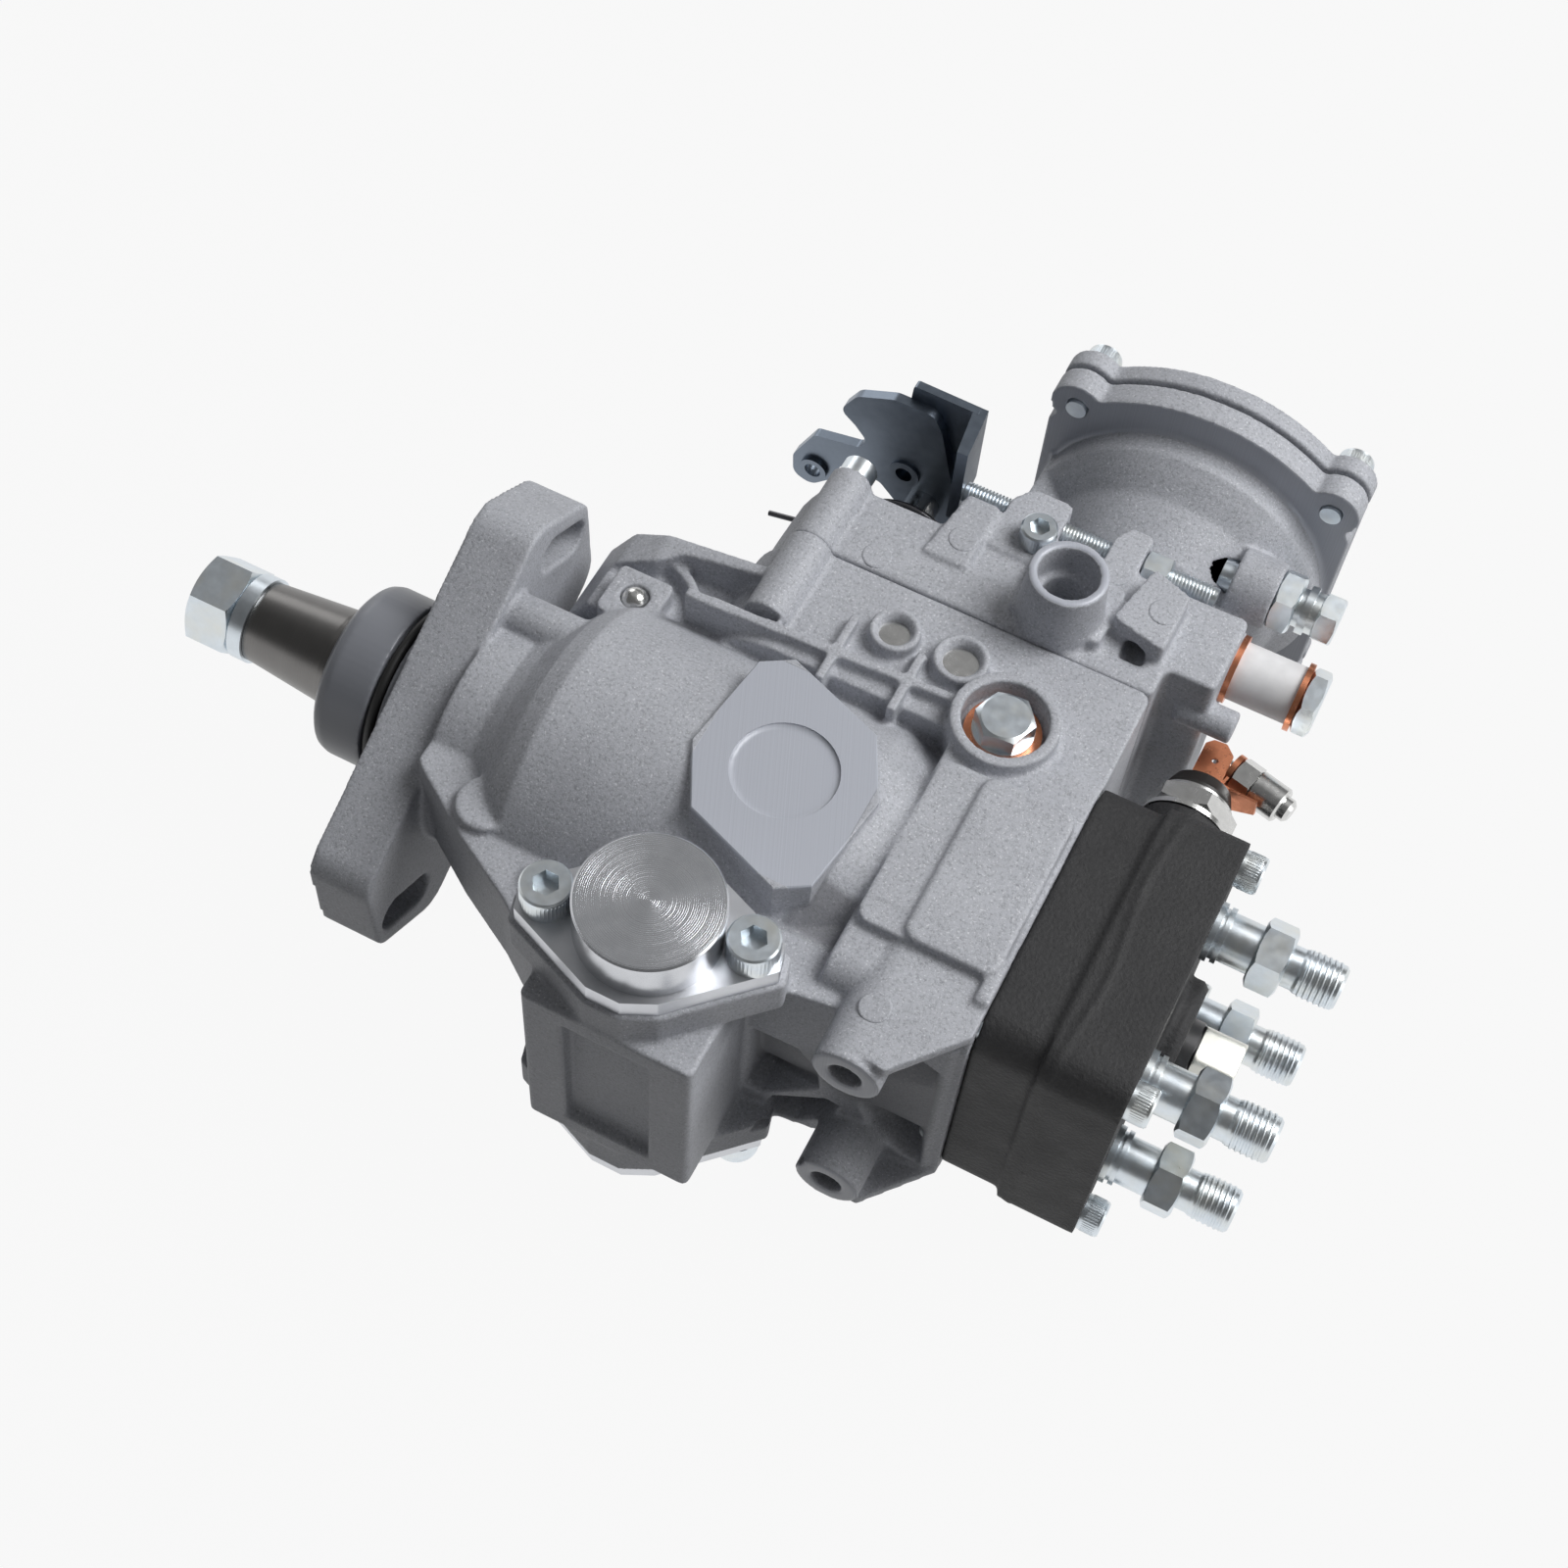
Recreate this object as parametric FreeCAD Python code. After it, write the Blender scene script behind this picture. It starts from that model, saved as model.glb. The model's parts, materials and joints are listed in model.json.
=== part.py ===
import FreeCAD, Part
import math
import os

os.makedirs("parts", exist_ok=True)

# Frame: X along the drive axis from the shaft nut to the outlets, Y towards the governor cover,
# Z up through the side that the pump shows when it lies on its other side.
# The origin is on the drive axis, in the front face of the mounting flange. Millimetres.

running = 0.05
working = 0.3

pilot_radius = 25.0
pilot_length = 22.0
flange_thickness = 18.0
flange_half_width = 28.2
flange_half_length = 60.0
slot_width = 10.0
slot_length = 24.0
journal_radius = 14.0
seal_radius = 20.5
taper_start = 27.0
taper_length = 25.0
taper_end_radius = 11.6
shaft_thread_radius = 7.0
nut_across_flats = 24.0
nut_length = 14.2

neck_radius = 33.5
chamber_outer_radius = 47.0
chamber_radius = 39.0
vane_chamber_radius = 29.0
dome_front = 46.0
body_rear = 178.0
chamber_side = 38.0
joint_level = 71.0
cover_front = 64.5
cover_rear = 192.0
cover_near = 38.0
cover_far = -38.0
cover_level = 95.0
wall = 5.0
corner_radius = 24.0
lobe_level = 60.0

head_half = 42.5
head_thickness = 39.0
head_front = body_rear
head_rear = head_front + head_thickness
outlet_pitch = 23.1
outlet_hex = 17.0
head_screw_pitch = 35.6
plunger_radius = 6.0

timing_x = 99.5
timing_y = -57.0
timing_half_height = 46.0
timing_piston_radius = 12.0
timing_cup_radius = 18.4
timing_cup_top = 65.0

boost_x = 160.5
boost_flange_level = 150.0
boost_flange_thickness = 8.0
boost_radius = 54.0
boost_screw_pitch = 38.0
boost_pin_radius = 4.0
boost_plate_radius = 22.5

throttle_x = 93.0
throttle_z = 12.0
throttle_shaft_radius = 5.0
lever_level = 118.0
lever_thickness = 3.0
stop_screw_level = 111.2
stop_screw_z = 33.5

gear_front = 67.0
gear_width = 8.0
drive_gear_teeth = 30
governor_gear_teeth = 20
gear_module = 2.0
governor_y = gear_module * (drive_gear_teeth + governor_gear_teeth) / 2
lever_pin_half = 26.0


def vec(x, y, z):
    return FreeCAD.Vector(x, y, z)


X, Y, Z = vec(1, 0, 0), vec(0, 1, 0), vec(0, 0, 1)


def rod(radius, start, end):
    a, b = vec(*start), vec(*end)
    return Part.makeCylinder(radius, (b - a).Length, a, b - a)


def cone(radius_a, radius_b, start, end):
    a, b = vec(*start), vec(*end)
    return Part.makeCone(radius_a, radius_b, (b - a).Length, a, b - a)


def tube(outer, inner, start, end):
    return rod(outer, start, end).cut(rod(inner, start, end))


def block(x0, x1, y0, y1, z0, z1):
    return Part.makeBox(x1 - x0, y1 - y0, z1 - z0, vec(x0, y0, z0))


def joined(*shapes):
    flat = []
    for shape in shapes:
        flat.extend(shape if isinstance(shape, list) else [shape])
    whole = flat[0].multiFuse(flat[1:]) if len(flat) > 1 else flat[0]
    return whole.removeSplitter()


def less(shape, *tools):
    flat = []
    for tool in tools:
        flat.extend(tool if isinstance(tool, list) else [tool])
    for tool in flat:
        shape = shape.cut(tool)
    return shape


def place(point, axis, depth):
    # A point of an outline, lifted on the plane across the named axis.
    a, b = point
    if axis == "x":
        return vec(depth, a, b)
    if axis == "y":
        return vec(a, depth, b)
    return vec(a, b, depth)


def outline(points, axis, depth, radius=0.0):
    # Closed outline with each corner rounded by the radius, or by its own third number.
    corners = []
    count = len(points)
    for i in range(count):
        here = points[i]
        r = here[2] if len(here) > 2 else radius
        before = points[i - 1]
        after = points[(i + 1) % count]
        p = (here[0], here[1])
        u = (before[0] - p[0], before[1] - p[1])
        v = (after[0] - p[0], after[1] - p[1])
        lu, lv = math.hypot(*u), math.hypot(*v)
        u = (u[0] / lu, u[1] / lu)
        v = (v[0] / lv, v[1] / lv)
        cosine = max(-1.0, min(1.0, u[0] * v[0] + u[1] * v[1]))
        half = math.acos(cosine) / 2
        if r <= 0.01 or half > 1.55:
            corners.append((p, None, p))
            continue
        reach = min(r / math.tan(half), 0.48 * lu, 0.48 * lv)
        r = reach * math.tan(half)
        start = (p[0] + u[0] * reach, p[1] + u[1] * reach)
        end = (p[0] + v[0] * reach, p[1] + v[1] * reach)
        bisect = (u[0] + v[0], u[1] + v[1])
        lb = math.hypot(*bisect)
        far = r / math.sin(half)
        mid = (p[0] + bisect[0] / lb * (far - r), p[1] + bisect[1] / lb * (far - r))
        corners.append((start, mid, end))
    edges = []
    for i in range(count):
        start, mid, end = corners[i]
        following = corners[(i + 1) % count][0]
        if mid is not None:
            arc = Part.Arc(place(start, axis, depth), place(mid, axis, depth), place(end, axis, depth))
            edges.append(arc.toShape())
        if math.hypot(end[0] - following[0], end[1] - following[1]) > 1e-6:
            edges.append(Part.makeLine(place(end, axis, depth), place(following, axis, depth)))
    return Part.Wire(edges)


def prism(points, axis, low, high, radius=0.0):
    face = Part.Face(outline(points, axis, low, radius))
    way = {"x": X, "y": Y, "z": Z}[axis]
    return face.extrude(way * (high - low))


def rectangle(a0, a1, b0, b1):
    return [(a0, b0), (a1, b0), (a1, b1), (a0, b1)]


def regular(count, radius, turn=0.0, centre=(0.0, 0.0)):
    step = 2 * math.pi / count
    return [(centre[0] + radius * math.cos(turn + i * step), centre[1] + radius * math.sin(turn + i * step))
            for i in range(count)]


def hexagon(across, axis, low, high, centre, turn=0.0):
    # Hexagonal bar with both ends chamfered by a cone.
    corner = across / math.sqrt(3)
    bar = prism(regular(6, corner, turn, centre), axis, low, high)
    ends = {"x": lambda d: (d, centre[0], centre[1]), "y": lambda d: (centre[0], d, centre[1]),
            "z": lambda d: (centre[0], centre[1], d)}[axis]
    rim = 0.12 * across
    cut = rim * 0.5
    lens = joined(cone(corner - rim, corner + 0.01, ends(low), ends(low + cut)),
                  rod(corner + 0.01, ends(low + cut), ends(high - cut)),
                  cone(corner + 0.01, corner - rim, ends(high - cut), ends(high)))
    return bar.common(lens)


def turned(points, centre, axis):
    # Solid of revolution: points are (along, radius) pairs along the axis through the centre.
    way = {"x": X, "y": Y, "z": Z}[axis]
    side = {"x": Y, "y": Z, "z": X}[axis]
    base = vec(*centre)
    verts = [base + way * a + side * r for a, r in points]
    wire = Part.makePolygon(verts + [verts[0]])
    return Part.Face(wire).revolve(base, way, 360)


def coil(centre, axis, start, end, radius, wire, turns):
    # Round-wire spring between two ends along an axis.
    length = abs(end - start) - wire * 2
    helix = Part.makeHelix(length / turns, length, radius)
    edge = helix.Edges[0]
    begin = edge.valueAt(edge.FirstParameter)
    heading = edge.tangentAt(edge.FirstParameter)
    ring = Part.Wire(Part.makeCircle(wire, begin, heading))
    body = Part.Wire(helix.Edges).makePipeShell([ring], True, True)
    body.translate(vec(0, 0, wire))
    if axis == "x":
        body.rotate(vec(0, 0, 0), Y, 90)
        body.translate(vec(min(start, end), centre[0], centre[1]))
    elif axis == "y":
        body.rotate(vec(0, 0, 0), X, -90)
        body.translate(vec(centre[0], min(start, end), centre[1]))
    else:
        body.translate(vec(centre[0], centre[1], min(start, end)))
    return body


def socket_screw(size, head_point, way, length):
    # Cap screw with a hexagon socket: head_point is under the head, way points out of the head.
    head_radius = {6: 5.0, 8: 6.5, 5: 4.25}[size]
    key = {6: 5.0, 8: 6.0, 5: 4.0}[size]
    head = Part.makeCylinder(head_radius, size, vec(0, 0, 0), Z)
    head = head.makeChamfer(0.5, [e for e in head.Edges if e.Curve.TypeId == "Part::GeomCircle"
                                  and abs(e.BoundBox.ZMin - size) < 0.01])
    socket = prism(regular(6, key / math.sqrt(3)), "z", size * 0.45, size + 1)
    shank = Part.makeCylinder(size / 2, length, vec(0, 0, -length), Z)
    screw = joined(head.cut(socket), shank)
    turn = FreeCAD.Rotation(Z, vec(*way))
    screw.Placement = FreeCAD.Placement(vec(*head_point), turn)
    return screw


def mirrored_pair(points):
    return points + [(-a, -b) + tuple(rest) for a, b, *rest in points]


def shifted(points, centre):
    return [(p[0] + centre[0], p[1] + centre[1]) + tuple(p[2:]) for p in points]


# Mounting flange and pilot.

def flange_points():
    w = flange_half_width
    h = flange_half_length
    return mirrored_pair([(-h, 0.0, 9.0), (33.0, 1.72 * w, 11.0), (58.5, 32.0, 8.0)])


def slot_shape(sign):
    # Slanted slot in one ear: half-round ends, cut right through the flange.
    angle = math.radians(-30)
    reach = (slot_length - slot_width) / 2
    centre = (44.5 * sign, 28.5 * sign)
    a = (centre[0] + reach * math.cos(angle), centre[1] + reach * math.sin(angle))
    b = (centre[0] - reach * math.cos(angle), centre[1] - reach * math.sin(angle))
    side = (-math.sin(angle) * slot_width / 2, math.cos(angle) * slot_width / 2)
    bar = prism([(a[0] + side[0], a[1] + side[1]), (b[0] + side[0], b[1] + side[1]),
                 (b[0] - side[0], b[1] - side[1]), (a[0] - side[0], a[1] - side[1])], "x", -1,
                 flange_thickness + 1)
    ends = [rod(slot_width / 2, (-1, p[0], p[1]), (flange_thickness + 1, p[0], p[1])) for p in (a, b)]
    return joined(bar, ends)


def octagon_points():
    return mirrored_pair([(-20.5, 26.0), (-12.5, 31.0), (15.5, 20.5), (24.5, 3.0)])


def timing_plate_points(grow=0.0):
    k = 1 + grow / 28.0
    half = [(-32.5 * k, -4.0 * k), (-30.5 * k, -11.0 * k), (-5.5 * k, -21.0 * k), (3.5 * k, -21.0 * k),
            (11.5 * k, -17.0 * k)]
    return shifted(mirrored_pair(half), (timing_x, timing_y))


def plan(front, rear, far, near, radius, low, high):
    # Upright block whose two front corners are well rounded.
    return prism([(front, far, radius), (front, near, radius), (rear, near, 1.0), (rear, far, 1.0)], "y",
                 low, high)


def front_lobe():
    # Wall over the governor's front bearing, hollowed on both sides under its top edge.
    half = [(24, 13, 5), (32, 26, 5), (42.5, 32, 5), (78, chamber_side, 1)]
    crown = prism(half + [(x, -z, r) for x, z, r in reversed(half)], "y", 34, lobe_level)
    shelf = prism([(20, lobe_level + 1), (80, lobe_level + 1), (80, lobe_level - 3), (49, lobe_level - 5),
                   (43, lobe_level - 10), (20, lobe_level - 14)], "z", -40, 40, 1.5)
    core = block(20, 80, 30, lobe_level, -24, 24)
    collar = tube(17.5, 14.8, (43.5, 38, 18),
                  (43.5, 38, 29)).common(block(43.5, 64, 38, lobe_level - 3, 18, 29))
    return joined(crown.common(joined(shelf, core)), collar)


def housing_solid():
    neck = rod(neck_radius, (flange_thickness - 1, 0, 0), (dome_front + 4, 0, 0))
    outer = chamber_outer_radius
    dome = turned([(28, 0), (28, neck_radius - 0.5), (33.5, neck_radius + 3), (40, outer - 3.5),
                   (dome_front, outer),
                   (body_rear - 52, outer), (body_rear - 42, outer - 4), (body_rear, outer - 4),
                   (body_rear, 0)],
                  (0, 0, 0), "x")
    rear = prism(rectangle(-head_half - 0.5, head_half + 0.5, -head_half - 0.5, head_half - 2.0),
                 "x", body_rear - 40, body_rear, 8)
    upper = prism([(cover_front + 4, 36), (body_rear, 36), (body_rear, joint_level),
                   (cover_front, joint_level),
                   (cover_front - 2, lobe_level)], "z", -chamber_side, chamber_side, 3)
    upper = upper.common(plan(cover_front - 2, body_rear + 1, -chamber_side, chamber_side, corner_radius,
                              30, 80))
    timing_box = prism(rectangle(timing_x - 23.5, timing_x + 23.5, timing_y - 22.5, -20),
                       "z", -timing_half_height + 12, timing_half_height - 12, 2)
    plates = [prism(timing_plate_points(1.5), "z",
                    s * (timing_half_height - 12) if s > 0 else -timing_half_height,
                    timing_half_height if s > 0 else -timing_half_height + 12, 1.5) for s in (1, -1)]
    web = prism([(flange_thickness - 1, -12), (46, -16), (80, -30), (80, -70), (70, -64), (56, -54),
                 (38, -44),
                 (flange_thickness - 1, -30)], "z", -8, 24, 4)
    floor_web = prism([(76, -20), (140, -20), (176, -40), (176, -44), (150, -46), (122, -50), (80, -60)],
                      "z", -40, 34, 4)
    return joined(neck, dome, rear, upper, front_lobe(), timing_box, plates, web, floor_web)


def bracket_bosses():
    # Two bosses with tapped holes for the rear bracket, tied to the rear face by ribs.
    parts = []
    for s in (1, -1):
        z = 33.0 * s
        parts.append(rod(9.0, (154.5, -61.5, z), (154.5, -26, z)))
        parts.append(prism([(154.5, -58), (163, -60), (body_rear, -42), (body_rear, -20), (154.5, -20)],
                           "z",
                           z - 9 if s < 0 else z + 5, z - 5 if s < 0 else z + 9, 1))
    parts.append(prism([(-40, -44), (-34, 44), (-20, 44), (-20, -44)], "x", body_rear - 4, body_rear, 2))
    parts.append(block(140, 150, -46, -40, -34, 34))
    return parts


def near_side_details():
    pad = prism(shifted(octagon_points(), (107.0, -1.0)), "z", 30, 48)
    low_pad = prism(rectangle(139, 176.5, -27, 24.5), "z", 26, 43.6, 4)
    high_pad = prism(rectangle(151.5, 176.5, -27, 24.5), "z", 26, 45.4, 4)
    plug_boss = rod(14.4, (148.5, 41.5, 24), (148.5, 41.5, 45.0))
    small = [rod(6.9, (111.4, 54.6, 28), (111.4, 54.6, 42.5)),
             rod(7.6, (130.4, 54.8, 28), (130.4, 54.8, 42.5))]
    ball_pad = prism(shifted([(-8, -8), (8, -8), (8, 8), (-8, 8)], (43.5, 38.0)), "z", 8, 31, 2)
    tie = rod(6.5, (flange_thickness - 1, 18, 30), (dome_front + 6, 18, 30))
    screw_post = rod(6.6, (79, 44, cover_near - 1), (79, joint_level, cover_near - 1))
    eject = rod(8.0, (40, -34, 10), (40, -34, 27))
    ribs = [prism([(58, 38), (62, 38), (136, 42), (136, 44.5), (58, 41)], "z", 26, 41.5),
            prism([(119.5, 32), (122, 32), (122, 52), (119.5, 52)], "z", 26, 41.5),
            prism([(99, 32), (101.5, 32), (101.5, 54), (99, 54)], "z", 26, 41.5)]
    eject_pin = rod(7.2, (60, -46, 18), (82, -52, 30))
    return [pad, low_pad, high_pad, plug_boss, ball_pad, tie, screw_post,
            eject] + small + ribs + [eject_pin]


def pump_housing():
    flange = prism(flange_points(), "x", 0, flange_thickness)
    pilot = turned([(1, 0), (1, pilot_radius), (3.8 - pilot_length, pilot_radius),
                    (1.4 - pilot_length, pilot_radius - 0.8),
                    (-pilot_length, pilot_radius - 2.8), (-pilot_length, 0)], (0, 0, 0), "x")
    body = joined(flange, pilot, housing_solid(), bracket_bosses(), near_side_details())
    groove = tube(pilot_radius + 1, pilot_radius - 2.6, (-6.2, 0, 0), (-2.4, 0, 0))
    cuts = [slot_shape(1), slot_shape(-1), groove]
    cuts.append(rod(seal_radius, (-pilot_length - 1, 0, 0), (-14, 0, 0)))
    cuts.append(rod(journal_radius + running, (-16, 0, 0), (22, 0, 0)))
    cuts.append(rod(vane_chamber_radius, (20, 0, 0), (46, 0, 0)))
    cuts.append(rod(chamber_radius, (44, 0, 0), (body_rear + 1, 0, 0)))
    cuts.append(block(gear_front - 0.7, cover_front + 15, 0, joint_level + 1, -24, 24))
    cuts.append(block(cover_front + 14, body_rear - 10, 0, 38.5, -18, 18))
    cuts.append(block(cover_front + 14, body_rear - 10, 38, joint_level + 1, wall - chamber_side,
                      chamber_side - wall))
    cuts.append(rod(timing_piston_radius + running, (timing_x, timing_y, -60), (timing_x, timing_y, 60)))
    cuts.append(block(timing_x - 6, timing_x + 6, timing_y, -30, -9, 9))
    for s in (1, -1):
        cuts.append(rod(4.25, (154.5, -63, 33.0 * s), (154.5, -40, 33.0 * s)))
        for t in (1, -1):
            cuts.append(rod(3.02, (body_rear - 14, head_screw_pitch * s, head_screw_pitch * t),
                            (body_rear + 1, head_screw_pitch * s, head_screw_pitch * t)))
    # Recess of the octagonal pad, the panel under the timing cylinder and the seats of the plugs.
    cuts.append(rod(14.0, (107.0, -1.0, 47.0), (107.0, -1.0, 50)))
    cuts.append(prism(rectangle(timing_x - 12, timing_x + 12, -27, 27), "y", timing_y - 24, timing_y - 21,
                      1))
    cuts.append(rod(11.4, (148.5, 41.5, 37), (148.5, 41.5, 50)))
    cuts.append(rod(5.0, (148.5, 41.5, 22), (148.5, 41.5, 38)))
    cuts.append(rod(4.2, (111.4, 54.6, 36), (111.4, 54.6, 45)))
    cuts.append(cone(4.2, 5.6, (111.4, 54.6, 40.6), (111.4, 54.6, 42.6)))
    cuts.append(rod(4.8, (130.4, 54.8, 36), (130.4, 54.8, 45)))
    cuts.append(cone(4.8, 6.3, (130.4, 54.8, 40.6), (130.4, 54.8, 42.6)))
    cuts.append(rod(4.0, (43.5, 38.0, 24), (43.5, 38.0, 36)))
    cuts.append(rod(3.02, (134, 30, -lever_pin_half - 0.2), (134, 30, lever_pin_half + 0.2)))
    for x, y in timing_screw_spots():
        cuts.append(rod(4.02, (x, y, timing_half_height - 8), (x, y, timing_half_height + 1)))
        cuts.append(rod(4.02, (x, y, -timing_half_height - 1), (x, y, -timing_half_height + 8)))
    for x, z in cover_screw_spots():
        cuts.append(rod(3.02, (x, joint_level - 13, z), (x, joint_level + 1, z)))
    cuts.append(rod(4.0, (cover_front - 8, governor_y, 0), (cover_front + 4, governor_y, 0)))
    return less(body, cuts)


def timing_screw_spots():
    return [(timing_x - 24.7, timing_y - 5.2), (timing_x + 24.7, timing_y + 5.2)]


def cover_screw_spots():
    return [(79.0, cover_near - 1.0), (79.0, cover_far + 2.0), (168.0, cover_far + 2.0)]


# Covers.

def governor_cover():
    side = [(cover_front, joint_level), (body_rear, joint_level), (body_rear, joint_level + 9.4),
            (cover_rear, joint_level + 9.4), (cover_rear, 105.8), (118, 104.5), (112, cover_level),
            (cover_front + 6.5, cover_level), (cover_front + 3, cover_level - 3.5)]
    shell = prism(side, "z", cover_far, cover_near, 2)
    shell = shell.common(plan(cover_front, cover_rear + 1, cover_far, cover_near, corner_radius, 60, 120))
    post = rod(6.2, (79, joint_level, cover_near - 1), (79, cover_level + 1, cover_near - 1))
    far_post = rod(6.2, (79, joint_level, cover_far + 2), (79, cover_level + 1, cover_far + 2))
    lugs = [prism([(120, 94), (136, 94), (136, 117), (124, 117), (120, 112)], "z", 27, cover_near + 1, 1.5),
            prism([(150, 94), (159.5, 94), (159.5, 118), (153, 118), (150, 114)], "z", 27, cover_near + 1,
                  1.5)]
    front_lug = prism([(106, 83), (119, 83), (119, 106), (109, 106)], "z", 28, cover_near + 2, 1)
    hump = prism([(138, 100), (cover_rear - 4, 100), (cover_rear - 4, 127), (138, 127)], "z", -20, 22, 3)
    seat = rod(9.6, (cover_rear - 10, full_load_y, full_load_z), (full_load_seat, full_load_y, full_load_z))
    rear_post = rod(6.2, (168, joint_level, cover_far + 2), (168, 88, cover_far + 2))
    big_boss = cone(12.6, 10.6, boss_point(26),
                    boss_point(boss_top)).cut(block(130, 165, 60, joint_level, 20, 60))
    boss_web = prism([(134, 76), (160, 76), (160, 96), (134, 98)], "z", 20, cover_near + 4, 2)
    tapped_lug = prism([(160, 84), (176, 80), (176, 100), (164, 104)], "z", 20, cover_near + 7, 1.5)
    panel = prism(rectangle(81, 137, joint_level + 0.5, joint_level + 14), "z", 20, cover_near + 0.8, 1)
    stub = rod(4.5, (cover_rear - 8, joint_level + 12, 22), (cover_rear + 8, joint_level + 12, 22))
    return_boss = rod(10.2, (cover_rear - 8, return_y, return_z), (cover_rear, return_y, return_z))
    lower_bell = turned([(96, 0), (96, 24), (116, 26), (119, 30), (124, 32), (129, 34), (134, 36),
                         (139, 40.5),
                         (143, 43.5), (boost_flange_level, 43.5), (boost_flange_level, 0)], (boost_x, 0, 0),
                         "y")
    rim = boost_rim(boost_flange_level, boost_flange_level + boost_flange_thickness)
    bell_ribs = [prism([(118, 126), (boost_x, 100), (boost_x, boost_flange_level),
                        (119, boost_flange_level)], "z",
                       s * 14 - 2, s * 14 + 2) for s in (1, -1)]
    solid = joined(shell, post, far_post, rear_post, hump, seat, lugs, front_lug, big_boss, boss_web,
                   tapped_lug,
                   panel, stub, return_boss, lower_bell, rim, bell_ribs)
    hollow = prism([(cover_front + 2.5, joint_level + 2, 1), (cover_front + 2.5, joint_level - 5),
                    (cover_rear - wall - 3, joint_level - 5), (cover_rear - wall - 3, 101), (118, 100),
                    (110, cover_level - 5), (cover_front + 7, cover_level - 5)], "z", cover_far + wall,
                    cover_near - 12, 2)
    hollow = hollow.common(plan(cover_front + 2.5, cover_rear, cover_far + wall, cover_near - 12,
                                corner_radius - 4, 60, 120))
    hollow = less(hollow, block(158, 178, 70, 90, cover_far, cover_far + 9),
                  block(174, 200, 70, 88, cover_far, 40))
    bell_hollow = turned([(120, 0), (120, 20), (124, 28), (130, 30), (141, 38),
                          (boost_flange_level + 9, 38),
                          (boost_flange_level + 9, 0)], (boost_x, 0, 0), "y")
    cuts = [hollow, bell_hollow]
    cuts.append(rod(boost_pin_radius + running, (boost_x, 90, 0), (boost_x, 130, 0)))
    cuts.append(rod(throttle_shaft_radius + running, (throttle_x, 84, throttle_z),
                    (throttle_x, 120, throttle_z)))
    cuts.append(rod(8.2, boss_point(boss_top - 10), boss_point(boss_top + 1)))
    cuts.append(rod(6.2, boss_point(34), boss_point(boss_top - 9)))
    cuts.append(rod(3.0, (118, stop_screw_level, stop_screw_z), (161, stop_screw_level, stop_screw_z)))
    cuts.append(rod(3.02, (bush_x, bush_y, 26), (bush_x, bush_y, 50)))
    cuts.append(rod(3.4, (168.5, 78, 37), (168.5, 92, 37)))
    for x, z in cover_screw_spots():
        cuts.append(rod(3.2, (x, joint_level - 1, z), (x, 130, z)))
    for a in (1, -1):
        for b in (1, -1):
            cuts.append(rod(3.1, (boost_x + a * boost_screw_pitch, 140, b * boost_screw_pitch),
                            (boost_x + a * boost_screw_pitch, 166, b * boost_screw_pitch)))
    cuts.append(rod(7.0, (cover_rear - 14, return_y, return_z), (cover_rear + 1, return_y, return_z)))
    cuts.append(rod(4.95, (cover_rear - 22, full_load_y, full_load_z),
                    (full_load_seat + 1, full_load_y, full_load_z)))
    cuts.append(rod(5.8, (168, 88, cover_far + 2), (168, 113, cover_far + 2)))
    cuts.append(block(162.2, 173.8, 88, 113, cover_far - 6, cover_far + 2))
    return less(solid, cuts)


return_y = 102.4
return_z = 20.0
full_load_y = 127.3
full_load_z = 24.0
full_load_seat = 194.3
boss_top = 57.5
bush_x = 131.5
bush_y = 101.5


def boss_point(level):
    return (146.5, 82.0, level)


def boost_rim(low, high):
    # Round flange with four ears for the screws.
    ears = []
    for a in (1, -1):
        for b in (1, -1):
            ears.append(rod(8.0, (boost_x + a * boost_screw_pitch, low, b * boost_screw_pitch),
                            (boost_x + a * boost_screw_pitch, high, b * boost_screw_pitch)))
    disc = rod(boost_radius, (boost_x, low, 0), (boost_x, high, 0))
    middle = block(boost_x - boost_screw_pitch - 7.6, boost_x + boost_screw_pitch + 7.6, low, high, -60, 60)
    return joined(disc.common(middle), ears)


def boost_cover():
    low = boost_flange_level + boost_flange_thickness + 1.4
    rim = boost_rim(low, low + 6)
    crown = turned([(low, 0), (low, 43), (low + 6, 43), (low + 10, 36), (low + 12, 22), (low + 12, 0)],
                   (boost_x, 0, 0), "y")
    hollow = turned([(low - 1, 0), (low - 1, 38), (low + 4, 38), (low + 8, 30), (low + 9, 18),
                     (low + 9, 0)],
                    (boost_x, 0, 0), "y")
    nipple = joined(rod(6, (boost_x + 10, low + 5, -20), (boost_x + 10, low + 20, -20)),
                    rod(9.5, (boost_x + 10, low + 5, -20), (boost_x + 10, low + 12.8, -20)))
    bore = rod(3, (boost_x + 10, low, -20), (boost_x + 10, low + 21, -20))
    body = less(joined(rim, crown, nipple), hollow, bore)
    for a in (1, -1):
        for b in (1, -1):
            body = body.cut(rod(3.1, (boost_x + a * boost_screw_pitch, low - 1, b * boost_screw_pitch),
                                (boost_x + a * boost_screw_pitch, low + 8, b * boost_screw_pitch)))
    return body


def boost_diaphragm():
    low = boost_flange_level + boost_flange_thickness
    return tube(45.0, boost_plate_radius + working, (boost_x, low, 0), (boost_x, low + 1.4, 0))


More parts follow.
